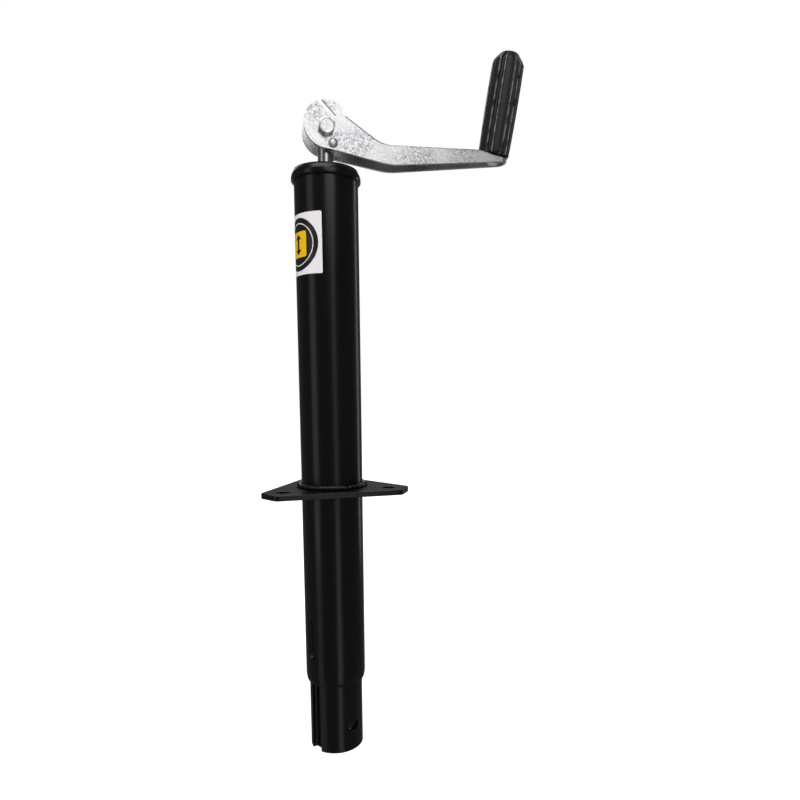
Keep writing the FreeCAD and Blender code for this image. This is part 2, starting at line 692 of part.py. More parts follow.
def crank_arm():
    """The stamped channel: two round ears, a web that dips to the arm, and a tapered nose for the grip."""
    shape = arm_side()
    blank = joined("MultiCommon", "arm_blank", [shape, arm_plan("arm", "0")])
    DOC.recompute()
    bend = DOC.addObject("Part::Fillet", "arm_bend")
    bend.Base = blank
    bend.Edges = [(at, size("bend_radius"), size("bend_radius")) for at in web_edges(blank.Shape)]

    drop = "gauge / cos(web_slope)"
    under_web = prism("under_web", outline("under_web_outline", [
        ("web_start", f"brow_z - (web_start - brow_x) * tan(web_slope) - {drop}"),
        ("dip_x - gauge / 3", f"dip_z - {drop}"),
        ("pad_x", "pad_z - gauge"),
        ("nose_x", "nose_z - gauge"),
        ("nose_x", "belly_z - gauge"),
        ("web_start", "belly_z - gauge"),
    ]), "4 * ear_radius", "side")
    hollow = joined("MultiCommon", "arm_hollow", [under_web, arm_plan("hollow", "gauge")])
    channel = cut("arm_channel", bend, hollow)

    disc = rod("ear_disc", "ear_radius", "2 * ear_half", ("ear_x", "ear_z"))
    zone = block("ear_zone", ("-2 * ear_radius", "-ear_half", "-2 * ear_radius"),
                 ("2 * ear_radius + web_start", "2 * ear_half", "4 * ear_radius"))
    gap = block("ear_gap", ("-2 * ear_radius", "gauge - ear_half", "-2 * ear_radius"),
                ("2 * ear_radius + web_start", "2 * (ear_half - gauge)", "4 * ear_radius"))
    both = joined("MultiCommon", "ear_blank", [joined("MultiFuse", "ear_profile", [shape, disc]), zone])
    whole = joined("MultiFuse", "arm_whole", [channel, cut("ears", both, gap)])

    made = cut("crank_arm", whole, joined("MultiFuse", "arm_cuts", [
        rod("pivot_holes", "bolt_od / 2", "4 * ear_half"),
        rod("rivet_holes", "rivet_od / 2", "4 * ear_half", ("rivet_x", "rivet_z")),
        ear_relief(), spindle_hole(),
    ]))
    made.Label = "crank_arm"
    return place(made, ON_CRANK)


def ear_relief():
    """The slot in each ear, open at the rim above the pivot, that lets the ear be drawn round."""
    made = DOC.addObject("Part::Box", "ear_relief")
    return bind(made, Length="slot_end + 2 * ear_radius", Width="4 * ear_half", Height="slot_width", Placement=(
        "placement(vector(0; -2 * ear_half; 0); rotation(vector(0; 1; 0); slot_angle))"
        " * placement(vector(-2 * ear_radius; 0; slot_level); rotation(vector(0; 0; 1); 0))"))


def spindle_hole():
    """The hole in the pad, square to the pad."""
    made = DOC.addObject("Part::Cylinder", "spindle_hole")
    return bind(made, Radius="spindle_od / 2", Height="4 * gauge", Placement=(
        "placement(vector(pad_x + grip_seat * cos(pad_slope); 0; pad_z - grip_seat * sin(pad_slope));"
        " rotation(vector(0; 1; 0); pad_slope)) * placement(vector(0; 0; -2 * gauge);"
        " rotation(vector(0; 0; 1); 0))"))


def web_edges(shape):
    """The long edges where the web turns down into the sides and the nose."""
    chosen = []
    for at, edge in enumerate(shape.Edges, 1):
        middle = edge.CenterOfMass
        on_top = middle.z > (size("dip_z") + size("belly_z")) / 2 and middle.z > size("nose_z") - 1
        along = edge.BoundBox.XLength > 1 or near(middle.x, size("nose_x"))
        if on_top and along:
            chosen.append(at)
    return chosen


def pivot_bolt():
    """Hexagon bolt through both ears and the screw's head, its head on the -Y side."""
    made = body("pivot_bolt")
    primitive(made, "AdditivePrism", "bolt_head_block", base=("0", "-ear_half", "0"), turn=(X_AXIS, "90"),
              Circumradius="hex_across / 2 / cos(30)", Height="bolt_head")
    primitive(made, "AdditiveCylinder", "bolt_shank", base=("0", "ear_half + nut_height + bolt_spare", "0"),
              turn=(X_AXIS, "90"), Radius="bolt_od / 2", Height="2 * ear_half + nut_height + bolt_spare")
    return place(made, ON_CRANK)


def lock_nut():
    """The nut on the bolt's far end, with a collar that holds a plastic insert."""
    made = body("pivot_lock_nut")
    primitive(made, "AdditivePrism", "nut_block", base=("0", "ear_half + nut_height", "0"),
              turn=(X_AXIS, "90"), Circumradius="hex_across / 2 / cos(30)", Height="nut_height")
    primitive(made, "SubtractiveCylinder", "nut_bore", base=("0", "4 * ear_half", "0"),
              turn=(X_AXIS, "90"), Radius="bolt_od / 2", Height="4 * ear_half")
    primitive(made, "SubtractiveCylinder", "insert_seat",
              base=("0", "ear_half + nut_height - insert_lip", "0"),
              turn=(X_AXIS, "90"), Radius="insert_od / 2", Height="insert_height")
    return place(made, ON_CRANK)


def lock_nut_insert():
    """The plastic ring inside the lock nut's collar."""
    made = body("lock_nut_insert")
    primitive(made, "AdditiveCylinder", "insert_ring", base=("0", "ear_half + nut_height - insert_lip", "0"),
              turn=(X_AXIS, "90"), Radius="insert_od / 2", Height="insert_height")
    primitive(made, "SubtractiveCylinder", "insert_bore", base=("0", "4 * ear_half", "0"),
              turn=(X_AXIS, "90"), Radius="bolt_od / 2", Height="4 * ear_half")
    return place(made, ON_CRANK)


def spacers():
    """The two spacers that centre the screw's head between the ears."""
    made = body("pivot_spacers")
    width = "(ear_half - gauge - tang_half - spacer_gap)"
    for side, edge in (("near", "-tang_half - spacer_gap"), ("far", "ear_half - gauge")):
        primitive(made, "AdditiveCylinder", f"{side}_spacer", base=("0", edge, "0"), turn=(X_AXIS, "90"),
                  Radius="spacer_od / 2", Height=width)
    primitive(made, "SubtractiveCylinder", "spacer_bore", base=("0", "2 * ear_half", "0"),
              turn=(X_AXIS, "90"), Radius="bolt_od / 2", Height="4 * ear_half")
    return place(made, ON_CRANK)


def stop_rivet():
    """The rivet through both ears that bears on the screw's notch when the crank is out for winding."""
    made = body("stop_rivet")
    primitive(made, "AdditiveCylinder", "rivet_rod", base=("rivet_x", "ear_half", "rivet_z"),
              turn=(X_AXIS, "90"), Radius="rivet_od / 2", Height="2 * ear_half")
    for side, edge in (("near", "-ear_half"), ("far", "ear_half + rivet_head")):
        primitive(made, "AdditiveCylinder", f"{side}_rivet_head", base=("rivet_x", edge, "rivet_z"),
                  turn=(X_AXIS, "90"), Radius="rivet_head_od / 2", Height="rivet_head")
    outer = size("ear_half") + size("rivet_head")
    dress(made, "Fillet", "rivet_dome_edges", "rivet_dome", lambda edge: (
        isinstance(edge.Curve, Part.Circle) and near(abs(edge.Curve.Center.y), outer)))
    return place(made, ON_CRANK)


def grip_spindle():
    """The headed rod that the grip turns on, riveted over under the arm's nose."""
    made = turned("grip_spindle", [
        ("0", "-gauge - rivet_boss"),
        ("rivet_boss_od / 2", "-gauge - rivet_boss"),
        ("rivet_boss_od / 2", "-gauge"),
        ("spindle_od / 2", "-gauge"),
        ("spindle_od / 2", "grip_length + 2 * grip_gap"),
        ("spindle_head_od / 2", "grip_length + 2 * grip_gap"),
        ("spindle_head_od / 2", "grip_length + 2 * grip_gap + spindle_head"),
        ("0", "grip_length + 2 * grip_gap + spindle_head"),
    ])
    radius = size("spindle_head_od") / 2
    top = size("grip_length") + 2 * size("grip_gap") + size("spindle_head")
    dress(made, "Fillet", "spindle_dome_edge", "spindle_dome", lambda edge: is_circle(edge, radius, top))
    boss = size("rivet_boss_od") / 2
    foot = -size("gauge") - size("rivet_boss")
    dress(made, "Fillet", "boss_edge", "boss_round", lambda edge: is_circle(edge, boss, foot))
    return place(made, ON_GRIP)


def grip():
    """The moulded grip: a slight barrel with a sloped shoulder and rounded flutes all along it."""
    bore = "spindle_od / 2 + spindle_clearance"
    top = "grip_length + grip_gap"
    made = turned("grip", [
        (bore, "grip_gap"),
        ("grip_foot_od / 2", "grip_gap"),
        ("grip_od / 2", "grip_gap + grip_belly"),
        ("grip_neck_od / 2", f"{top} - grip_shoulder"),
        ("grip_top_od / 2", top),
        (bore, top),
    ])
    flute = primitive(made, "SubtractiveCylinder", "flute",
                      base=("grip_od / 2 + flute_width / 2 - flute_depth", "0", "0"),
                      Radius="flute_width / 2", Height="grip_length + 2 * grip_gap")
    polar(made, flute, "flute_count")
    return place(made, ON_GRIP)


# ---------------------------------------------------------------- build

def build():
    """Makes every sub-part and returns them, each under the name of its node."""
    return [
        outer_tube(), top_cap(), cap_bushing(), mounting_flange(), flange_weld(), label(),
        race("bearing_upper_race", "tube_above - race_thick", "tube_above"),
        race("bearing_lower_race", "collar_top + race_thick", "collar_top"),
        bearing_balls(), bearing_cage(),
        drive_screw(), retaining_ring(), thrust_collar(),
        cross_pin("collar_pin", "collar_pin_od", "collar_od", "collar_top - collar_height / 2"),
        stop_washer(),
        cross_pin("stop_pin", "stop_pin_od", "tail_od + 2 * stop_pin_od",
                  "thread_bottom - stop_washer_thick - stop_pin_od / 2"),
        inner_tube(), nut_plate(), drive_nut(), nut_weld(),
        crank_arm(), pivot_bolt(), lock_nut(), lock_nut_insert(), spacers(), stop_rivet(),
        grip_spindle(), grip(),
    ]


def check(parts):
    """Stops the build if any object failed, or any sub-part isn't sound solids."""
    for thing in DOC.Objects:
        if {"Invalid", "Error"} & set(thing.State):
            raise RuntimeError(f"{thing.Name} failed: {thing.State}")
    for part in parts:
        shape = part.Shape
        if shape.isNull() or not shape.isValid() or not shape.Solids:
            raise RuntimeError(f"{part.Label} is not a sound solid")
        if min(solid.Volume for solid in shape.Solids) <= 0:
            raise RuntimeError(f"{part.Label} has an inside-out solid")


def main():
    fill_sheet()
    parts = build()
    DOC.recompute()
    check(parts)
    os.makedirs("parts", exist_ok=True)
    for part in parts:
        part.Shape.exportStep(f"parts/{part.Label}.step")
        print(f"{part.Label}: {len(part.Shape.Solids)} solid, {part.Shape.Volume:.0f} mm3")


main()
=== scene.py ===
"""Looks of a top-wind trailer tongue jack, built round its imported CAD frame.

Everything is in metres in the frame's own axes: +Z runs up the tube to the crank, and the leg's
groove is on the -Y side. Turned pieces are drawn about their own axis, +Z, and then set in their
place.
"""

import json
import math

import bmesh
import bpy
from mathutils import Matrix, Vector


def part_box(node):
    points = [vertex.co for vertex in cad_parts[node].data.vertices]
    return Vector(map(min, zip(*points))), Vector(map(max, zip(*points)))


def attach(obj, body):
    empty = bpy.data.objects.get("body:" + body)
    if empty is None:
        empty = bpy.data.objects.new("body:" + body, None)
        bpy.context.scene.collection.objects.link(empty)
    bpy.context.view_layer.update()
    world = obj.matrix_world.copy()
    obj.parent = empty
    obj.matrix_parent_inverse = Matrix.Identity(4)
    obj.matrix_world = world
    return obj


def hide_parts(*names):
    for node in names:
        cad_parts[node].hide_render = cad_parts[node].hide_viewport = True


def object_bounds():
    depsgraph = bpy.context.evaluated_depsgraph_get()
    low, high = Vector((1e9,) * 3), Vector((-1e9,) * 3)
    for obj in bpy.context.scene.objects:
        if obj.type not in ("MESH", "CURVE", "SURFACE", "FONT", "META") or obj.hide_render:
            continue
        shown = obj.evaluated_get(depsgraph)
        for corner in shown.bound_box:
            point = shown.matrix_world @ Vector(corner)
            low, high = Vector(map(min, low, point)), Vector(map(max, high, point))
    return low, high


bl_info = {
    "name": "Trailer Tongue Jack",
    "version": (1, 0, 0),
    "blender": (4, 5, 0),
    "location": "View3D > Sidebar > Jack",
    "description": "Builds the painted, plated and moulded pieces of a trailer tongue jack",
    "category": "Add Mesh",
}

MM = 0.001
PLAY = 0.02 * MM  # between pieces that would share a face
HEX_SIDES = 96
ROD_SIDES = 64
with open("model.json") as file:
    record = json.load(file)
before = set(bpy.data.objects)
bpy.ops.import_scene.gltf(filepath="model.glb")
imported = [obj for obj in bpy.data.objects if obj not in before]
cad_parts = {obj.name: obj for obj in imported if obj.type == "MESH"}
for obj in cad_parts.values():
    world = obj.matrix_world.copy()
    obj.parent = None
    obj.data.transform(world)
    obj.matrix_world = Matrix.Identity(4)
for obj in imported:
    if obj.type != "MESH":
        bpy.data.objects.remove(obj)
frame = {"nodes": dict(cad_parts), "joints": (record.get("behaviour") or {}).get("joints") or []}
CAD_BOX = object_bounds()
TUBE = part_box("outer_tube")
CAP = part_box("top_cap")
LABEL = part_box("label")
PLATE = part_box("mounting_flange")
JOINTS = {joint["name"]: joint for joint in frame["joints"]}


# ---------------------------------------------------------------- properties

def linear(code):
    """An sRGB hex colour as linear red, green and blue."""
    channels = [int(code[at:at + 2], 16) / 255 for at in (1, 3, 5)]
    return tuple(c / 12.92 if c <= 0.04045 else ((c + 0.055) / 1.055) ** 2.4 for c in channels)


def length(name, description, metres):
    return bpy.props.FloatProperty(
        name=name, description=description, default=metres, min=0.0, precision=5, unit="LENGTH")


def colour(name, description, code):
    return bpy.props.FloatVectorProperty(
        name=name, description=description, default=linear(code), size=3, min=0.0, max=1.0,
        subtype="COLOR")


class JackSizes(bpy.types.PropertyGroup):
    tube_radius: length("Tube radius", "Outside radius of the painted tube", TUBE[1].x)
    tube_wall: length("Tube wall", "Wall of the painted tube", 2.8 * MM)
    mouth_length: length(
        "Mouth length", "Length over which the tube's lower end is rolled in", 8 * MM)
    mouth_taper: length("Mouth taper", "How far the lower end is rolled in", 1.2 * MM)
    press_low: length(
        "Key foot", "Height of the pressed key's lower end above the tube's lower end", 25 * MM)
    press_length: length("Key length", "Length of the pressed key", 40 * MM)
    press_width: length("Key width", "Width of the pressed key", 11 * MM)
    press_depth: length("Key depth", "How deep the key is pressed in from outside", 2.9 * MM)
    press_edge: length("Key edge", "Width of the key's rounded edge", 2.1 * MM)
    bushing_radius: length("Bushing radius", "Outside radius of the cap's bushing", 10 * MM)
    weld_leg: length("Weld leg", "Leg of the fillet weld on the plate", 4.2 * MM)
    weld_pitch: length("Weld pitch", "Distance between the weld's ripples", 2.1 * MM)
    sheared_edge: length("Sheared edge", "Rounding of sheared and turned steel edges", 0.45 * MM)
    hex_across: length("Hexagon", "Bolt head across its flats", 13 * MM)
    bolt_head: length("Head height", "Height of the pivot bolt's head", 5.3 * MM)
    nut_height: length("Nut height", "Height of the lock nut", 8 * MM)
    bolt_radius: length("Bolt radius", "Radius of the pivot bolt", 4 * MM)
    ear_half: length("Ear half", "Half the width over the crank's ears", 13 * MM)
    rivet_radius: length("Rivet head", "Radius of the stop rivet's head", 4.3 * MM)
    rivet_head: length("Rivet head height", "Height of the stop rivet's head", 1.5 * MM)
    grip_length: length("Grip length", "Length of the moulded grip", 91.5 * MM)
    grip_radius: length("Grip radius", "Largest radius of the grip", 15.1 * MM)
    flute_width: length("Flute width", "Width of a groove along the grip", 4.4 * MM)
    flute_depth: length("Flute depth", "Depth of a groove along the grip", 2.6 * MM)
    lip_width: length("Lip width", "Width of the lip beside each groove", 1.2 * MM)


class JackColours(bpy.types.PropertyGroup):
    powder: colour("Powder coat", "Black polyester powder coat", "#040405")
    zinc_light: colour("Zinc", "Bright zinc plate", "#F2F2F4")
    zinc_dark: colour("Zinc spangle", "Darker crystals in the zinc plate", "#ADADB6")
    steel: colour("Turned steel", "Bright turned steel", "#CFCBC8")
    moulding: colour("Grip", "Black moulded polypropylene", "#151316")
    # painted highlight: the pale grey put on the groove lips, for the light their narrow ridges
    # catch
    moulding_lip_highlight: colour("Grip edges", "Edges of the grip that hands have rubbed", "#767175")
    vinyl: colour("Label", "White vinyl of the label", "#EFEBEE")
    ink: colour("Ink", "Black ink of the label", "#19181B")
    amber: colour("Amber", "Yellow ink of the label", "#F0BE12")
    floor: colour("Floor", "Pale studio floor", "#F4F4F3")


# ---------------------------------------------------------------- shader nodes

def add(tree, kind, inputs=None, **settings):
    """Adds a node, sets its attributes, and sets or links its inputs."""
    made = tree.nodes.new(kind)
    for name, value in settings.items():
        setattr(made, name, value)
    for name, value in (inputs or {}).items():
        if isinstance(value, bpy.types.NodeSocket):
            tree.links.new(value, made.inputs[name])
        else:
            made.inputs[name].default_value = value
    return made


def rgba(values):
    return (*values, 1.0)


def new_material(name, shader_inputs):
    """A material with one Principled shader, and its tree, shader and object coordinates."""
    made = bpy.data.materials.new(name)
    made.use_nodes = True
    tree = made.node_tree
    tree.nodes.clear()
    shader = add(tree, "ShaderNodeBsdfPrincipled", shader_inputs)
    add(tree, "ShaderNodeOutputMaterial", {"Surface": shader.outputs["BSDF"]})
    return made, tree, shader, add(tree, "ShaderNodeTexCoord").outputs["Object"]


def per_size(metres):
    """A texture's scale for features of this size in object coordinates."""
    return 1 / metres


def dress(tree, shader, tone, gloss=None, bump=None):
    """Links a shader's colour, and its roughness and bump where they vary over the surface."""
    tree.links.new(tone.outputs["Result"], shader.inputs["Base Color"])
    if gloss:
        tree.links.new(gloss.outputs["Result"], shader.inputs["Roughness"])
    if bump:
        tree.links.new(bump.outputs["Normal"], shader.inputs["Normal"])


def powder_coat(colours):
    """Polyester powder coat, sprayed and baked: deep black with a soft gloss."""
    made, tree, shader, place = new_material(
        "baked_powder_coat", {"IOR": 1.5, "Specular IOR Level": 0.5})
    # orange peel ripples are 1 to 2 mm apart
    peel = add(tree, "ShaderNodeTexNoise", {
        "Vector": place, "Scale": per_size(1.8 * MM), "Detail": 2.0})
    bump = add(tree, "ShaderNodeBump", {
        "Height": peel.outputs["Fac"], "Strength": 0.1, "Distance": 0.03 * MM})
    # the spray's thickness drifts over 45 mm or so, and the gloss with it
    drift = add(tree, "ShaderNodeTexNoise", {
        "Vector": place, "Scale": per_size(45 * MM), "Detail": 3.0})
    gloss = add(tree, "ShaderNodeMapRange", {
        "Value": drift.outputs["Fac"], "From Min": 0.3, "From Max": 0.7,
        "To Min": 0.2, "To Max": 0.26})
    # pale dust nibs under the coat are about 0.5 mm across, one to every five cells of 15 mm
    cell = 15 * MM
    nib_radius = 0.27 * MM
    empty_cells = 0.8
    dust = linear("#8E8A88")
    cells = add(tree, "ShaderNodeTexVoronoi", {"Vector": place, "Scale": per_size(cell)})
    small = add(tree, "ShaderNodeMath", {
        0: cells.outputs["Distance"], 1: nib_radius / cell}, operation="LESS_THAN")
    chance = add(tree, "ShaderNodeSeparateColor", {"Color": cells.outputs["Color"]})
    some = add(tree, "ShaderNodeMath", {
        0: chance.outputs["Red"], 1: empty_cells}, operation="GREATER_THAN")
    nib = add(tree, "ShaderNodeMath", {
        0: small.outputs[0], 1: some.outputs[0]}, operation="MULTIPLY")
    tone = add(tree, "ShaderNodeMix", {
        "Factor": nib.outputs[0], "A": rgba(colours.powder), "B": rgba(dust)}, data_type="RGBA")
    dress(tree, shader, tone, gloss, bump)
    return made


def zinc_plate(colours):
    """Bright electroplated zinc on stamped steel: a mirror that 1 mm spangle clouds in patches."""
    made, tree, shader, place = new_material("bright_zinc_plate", {"Metallic": 1.0})
    spangle = add(tree, "ShaderNodeTexVoronoi", {"Vector": place, "Scale": per_size(1.3 * MM)})
    mottle = add(tree, "ShaderNodeTexNoise", {
        "Vector": place, "Scale": per_size(2.2 * MM), "Detail": 4.0, "Roughness": 0.65})
    cloud = add(tree, "ShaderNodeTexNoise", {
        "Vector": place, "Scale": per_size(28 * MM), "Detail": 2.0})
    cover = add(tree, "ShaderNodeMapRange", {
        "Value": cloud.outputs["Fac"], "From Min": 0.4, "From Max": 0.6})
    crystal = add(tree, "ShaderNodeSeparateColor", {"Color": spangle.outputs["Color"]})
    mixed = add(tree, "ShaderNodeMath", {
        0: crystal.outputs["Red"], 1: mottle.outputs["Fac"]}, operation="MULTIPLY")
    shade = add(tree, "ShaderNodeMapRange", {
        "Value": mixed.outputs[0], "From Min": 0.12, "From Max": 0.5})
    clouded = add(tree, "ShaderNodeMath", {
        0: shade.outputs["Result"], 1: cover.outputs["Result"]}, operation="MULTIPLY")
    tone = add(tree, "ShaderNodeMix", {
        "Factor": clouded.outputs[0], "A": rgba(colours.zinc_light),
        "B": rgba(colours.zinc_dark)}, data_type="RGBA")
    gloss = add(tree, "ShaderNodeMapRange", {
        "Value": mottle.outputs["Fac"], "From Min": 0.3, "From Max": 0.7,
        "To Min": 0.24, "To Max": 0.42})
    bump = add(tree, "ShaderNodeBump", {
        "Height": mottle.outputs["Fac"], "Strength": 0.35, "Distance": 0.08 * MM})
    dress(tree, shader, tone, gloss, bump)
    return made


def turned_steel(name, base, roughness):
    """Metal turned or ground about its axis: bright, with fine rings round it."""
    made, tree, shader, place = new_material(name, {"Metallic": 1.0})
    # tool marks are 0.1 to 0.3 mm apart, drawn 3 mm apart so that they show
    ring = math.pi * MM
    wave_scale = 2 * math.pi / (20 * ring)
    rings = add(tree, "ShaderNodeTexWave", {
        "Vector": place, "Scale": wave_scale, "Distortion": 0.6, "Detail": 2.0,
        "Detail Scale": 1.5}, bands_direction="Z")
    bump = add(tree, "ShaderNodeBump", {
        "Height": rings.outputs["Fac"], "Strength": 0.2, "Distance": 0.01 * MM})
    smear = add(tree, "ShaderNodeTexNoise", {
        "Vector": place, "Scale": per_size(6 * MM), "Detail": 3.0})
    gloss = add(tree, "ShaderNodeMapRange", {
        "Value": smear.outputs["Fac"], "From Min": 0.3, "From Max": 0.7,
        "To Min": roughness * 0.8, "To Max": roughness * 1.3})
    tone = add(tree, "ShaderNodeMix", {
        "Factor": smear.outputs["Fac"], "A": rgba(base), "B": rgba([c * 0.8 for c in base])},
        data_type="RGBA")
    dress(tree, shader, tone, gloss, bump)
    return made


def moulded_grip(colours):
    """Injection-moulded black polypropylene: spark-eroded grain, and painted lip highlights."""
    made, tree, shader, place = new_material("black_polypropylene", {"IOR": 1.49})
    # painted highlight: pale grey in patches on the groove lips, for the light their ridges catch
    lip_highlight = add(tree, "ShaderNodeAttribute", attribute_name="lip_highlight")
    patchy = add(tree, "ShaderNodeTexNoise", {
        "Vector": place, "Scale": per_size(7 * MM), "Detail": 4.0})
    highlight_patches = add(tree, "ShaderNodeMapRange", {
        "Value": patchy.outputs["Fac"], "From Min": 0.35, "From Max": 0.6})
    share = add(tree, "ShaderNodeMath", {
        0: lip_highlight.outputs["Fac"], 1: highlight_patches.outputs["Result"]}, operation="MULTIPLY")
    tone = add(tree, "ShaderNodeMix", {
        "Factor": share.outputs[0], "A": rgba(colours.moulding),
        "B": rgba(colours.moulding_lip_highlight)}, data_type="RGBA")
    gloss = add(tree, "ShaderNodeMapRange", {
        "Value": share.outputs[0], "To Min": 0.46, "To Max": 0.27})
    # the grain of a spark-eroded mould is about 0.3 mm, drawn at 0.5 mm so that it shows
    grain = add(tree, "ShaderNodeTexNoise", {
        "Vector": place, "Scale": per_size(0.5 * MM), "Detail": 2.0})
    bump = add(tree, "ShaderNodeBump", {
        "Height": grain.outputs["Fac"], "Strength": 0.3, "Distance": 0.05 * MM})
    dress(tree, shader, tone, gloss, bump)
    return made


def printed_vinyl(name, base, gloss):
    """Vinyl film with flexographic ink: an even gloss, a faint print mottle and a slight ripple."""
    made, tree, shader, place = new_material(name, {"IOR": 1.5, "Roughness": gloss})
    mottle = add(tree, "ShaderNodeTexNoise", {
        "Vector": place, "Scale": per_size(0.9 * MM), "Detail": 2.0})
    tone = add(tree, "ShaderNodeMix", {
        "Factor": mottle.outputs["Fac"], "A": rgba(base), "B": rgba([c * 0.9 for c in base])},
        data_type="RGBA")
    ripple = add(tree, "ShaderNodeTexNoise", {
        "Vector": place, "Scale": per_size(9 * MM), "Detail": 1.0})
    bump = add(tree, "ShaderNodeBump", {
        "Height": ripple.outputs["Fac"], "Strength": 0.25, "Distance": 0.1 * MM})
    dress(tree, shader, tone, bump=bump)
    return made


def moulded_nylon(name, base):
    """Moulded nylon: a soft, slightly waxy white."""
    made, tree, shader, place = new_material(name, {"IOR": 1.53, "Roughness": 0.42})
    flow = add(tree, "ShaderNodeTexNoise", {
        "Vector": place, "Scale": per_size(3 * MM), "Detail": 2.0})
    tone = add(tree, "ShaderNodeMix", {
        "Factor": flow.outputs["Fac"], "A": rgba(base), "B": rgba([c * 0.86 for c in base])},
        data_type="RGBA")
    dress(tree, shader, tone)
    return made


def finish(name):
    """The material of this name, made the first time that it is asked for."""
    if name in bpy.data.materials:
        return bpy.data.materials[name]
    colours = bpy.context.scene.jack_colours
    makers = {
        "baked_powder_coat": lambda: powder_coat(colours),
        "bright_zinc_plate": lambda: zinc_plate(colours),
        "turned_steel": lambda: turned_steel(name, colours.steel, 0.2),
        "ground_bearing_steel": lambda: turned_steel(name, linear("#DCDDE0"), 0.1),
        "phosphated_spring_steel": lambda: turned_steel(name, linear("#4A4A4D"), 0.42),
        "sintered_bronze": lambda: turned_steel(name, linear("#B98B4E"), 0.38),
        "black_polypropylene": lambda: moulded_grip(colours),
        "vinyl_white": lambda: printed_vinyl(name, colours.vinyl, 0.3),
        "vinyl_black": lambda: printed_vinyl(name, colours.ink, 0.26),
        "vinyl_amber": lambda: printed_vinyl(name, colours.amber, 0.28),
        "nylon_natural": lambda: moulded_nylon(name, linear("#D9D0B8")),
        "nylon_white": lambda: moulded_nylon(name, linear("#ECEBE6")),
    }
    return makers[name]()


# ---------------------------------------------------------------- meshes

def arc(across, up, radius, start, end, steps):
    """Points of an arc in a profile, from one angle to another, in degrees."""
    turns = (math.radians(start + (end - start) * step / steps) for step in range(steps + 1))
    return [(across + radius * math.cos(turn), up + radius * math.sin(turn)) for turn in turns]


def lathe(profile, angles, change=None):
    """A shape turned about +Z from a closed profile of (radius, height). A point on the axis
    becomes a pole. change(angle, radius, height) may return another radius."""
    shape = bmesh.new()
    rings = []
    for radius, height in profile:
        if radius == 0:
            rings.append([shape.verts.new((0, 0, height))] * len(angles))
            continue
        ring = []
        for angle in angles:
            here = change(angle, radius, height) if change else radius
            ring.append(shape.verts.new((here * math.cos(angle), here * math.sin(angle), height)))
        rings.append(ring)
    for low, high in zip(rings, rings[1:] + rings[:1]):
        for at in range(len(angles)):
            after = (at + 1) % len(angles)
            corners = list(dict.fromkeys((low[at], low[after], high[after], high[at])))
            if len(corners) > 2:
                shape.faces.new(corners)
    bmesh.ops.recalc_face_normals(shape, faces=shape.faces)
    return shape


def even(count):
    """Evenly spaced angles round a full turn."""
    return [2 * math.pi * step / count for step in range(count)]


def dome(radius, base, rise):
    """A dome's profile from its top to just above its rim: a quarter of an ellipse."""
    turns = [math.radians(10 * step) for step in range(1, 10)]
    return [(0, base + rise)] + [
        (radius * math.sin(turn), base + rise * math.cos(turn)) for turn in turns]


def to_mesh(name, shape, material, crease=35):
    """A smooth-shaded mesh from a bmesh, kept sharp at edges steeper than crease degrees."""
    mesh = bpy.data.meshes.new(name)
    shape.to_mesh(mesh)
    shape.free()
    mesh.materials.append(finish(material))
    mesh.shade_smooth()
    mesh.set_sharp_from_angle(angle=math.radians(crease))
    return mesh


def absorb(shape, other):
    """Adds another shape to a shape, and frees the other."""
    mesh = bpy.data.meshes.new("other")
    other.to_mesh(mesh)
    other.free()
    shape.from_mesh(mesh)
    bpy.data.meshes.remove(mesh)


def new_piece(name, mesh, body, slot, *replaced):
    """Puts a finished mesh on a body, in place of the CAD nodes that it stands for."""
    piece = bpy.data.objects.new(name, mesh)
    bpy.context.scene.collection.objects.link(piece)
    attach(piece, body)
    if replaced:
        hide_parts(*replaced)
    return piece


def plain(holder):
    """The plain mesh that an object's modifiers make. The object is removed."""
    bpy.context.scene.collection.objects.link(holder)
    graph = bpy.context.evaluated_depsgraph_get()
    made = bpy.data.meshes.new_from_object(holder.evaluated_get(graph))
    bpy.data.objects.remove(holder)
    return made


def applied(mesh, *modifiers):
    """The mesh that a list of (type, settings) modifiers makes of a mesh."""
    holder = bpy.data.objects.new("holder", mesh)
    for kind, settings in modifiers:
        modifier = holder.modifiers.new(kind, kind)
        for name, value in settings.items():
            setattr(modifier, name, value)
    return plain(holder)


def softened(node, material, width):
    """A merged copy of a CAD node with its sharp edges rounded, as shears and dies leave them."""
    merged = 0.002 * MM
    flat = math.radians(0.6)
    sharp = math.radians(32)
    shape = bmesh.new()
    shape.from_mesh(frame["nodes"][node].data)
    bmesh.ops.remove_doubles(shape, verts=shape.verts, dist=merged)
    bmesh.ops.dissolve_limit(shape, angle_limit=flat, verts=shape.verts, edges=shape.edges)
    return applied(
        to_mesh(node, shape, material),
        ("BEVEL", {"width": width, "segments": 3, "limit_method": "ANGLE", "angle_limit": sharp,
                   "use_clamp_overlap": True, "harden_normals": False}),
        ("WEIGHTED_NORMAL", {"keep_sharp": False, "weight": 80}),
    )


def frame_of(joint_name, reach=(1, 0, 0)):
    """A matrix with +Z on a joint's axis, its origin on the joint, and +X towards reach."""
    joint = JOINTS[joint_name]
    up = Vector(joint["axis"]).normalized()
    across = Vector(reach) - up * Vector(reach).dot(up)
    across.normalize()
    side = up.cross(across)
    turn = Matrix((across, side, up)).transposed().to_4x4()
    return Matrix.Translation(Vector(joint["pos_m"])) @ turn


def bolt_frame(distance, along=(0, 0)):
    """A frame on the crank's pivot line, at a distance outwards from the pivot on the head's side.
    Its +X runs along the arm, and along moves it (along the arm, up)."""
    arm = Vector(JOINTS["grip_spin"]["pos_m"]) - Vector(JOINTS["crank_fold"]["pos_m"])
    arm.z = 0
    made = frame_of("crank_fold", arm)
    return Matrix.Translation(arm.normalized() * along[0] + Vector((0, 0, along[1]))) @ made @ (
        Matrix.Translation((0, 0, distance)))


def flipped(matrix):
    """The same frame, pointing the other way along its axis."""
    return matrix @ Matrix.Rotation(math.pi, 4, "X")


# ---------------------------------------------------------------- tube

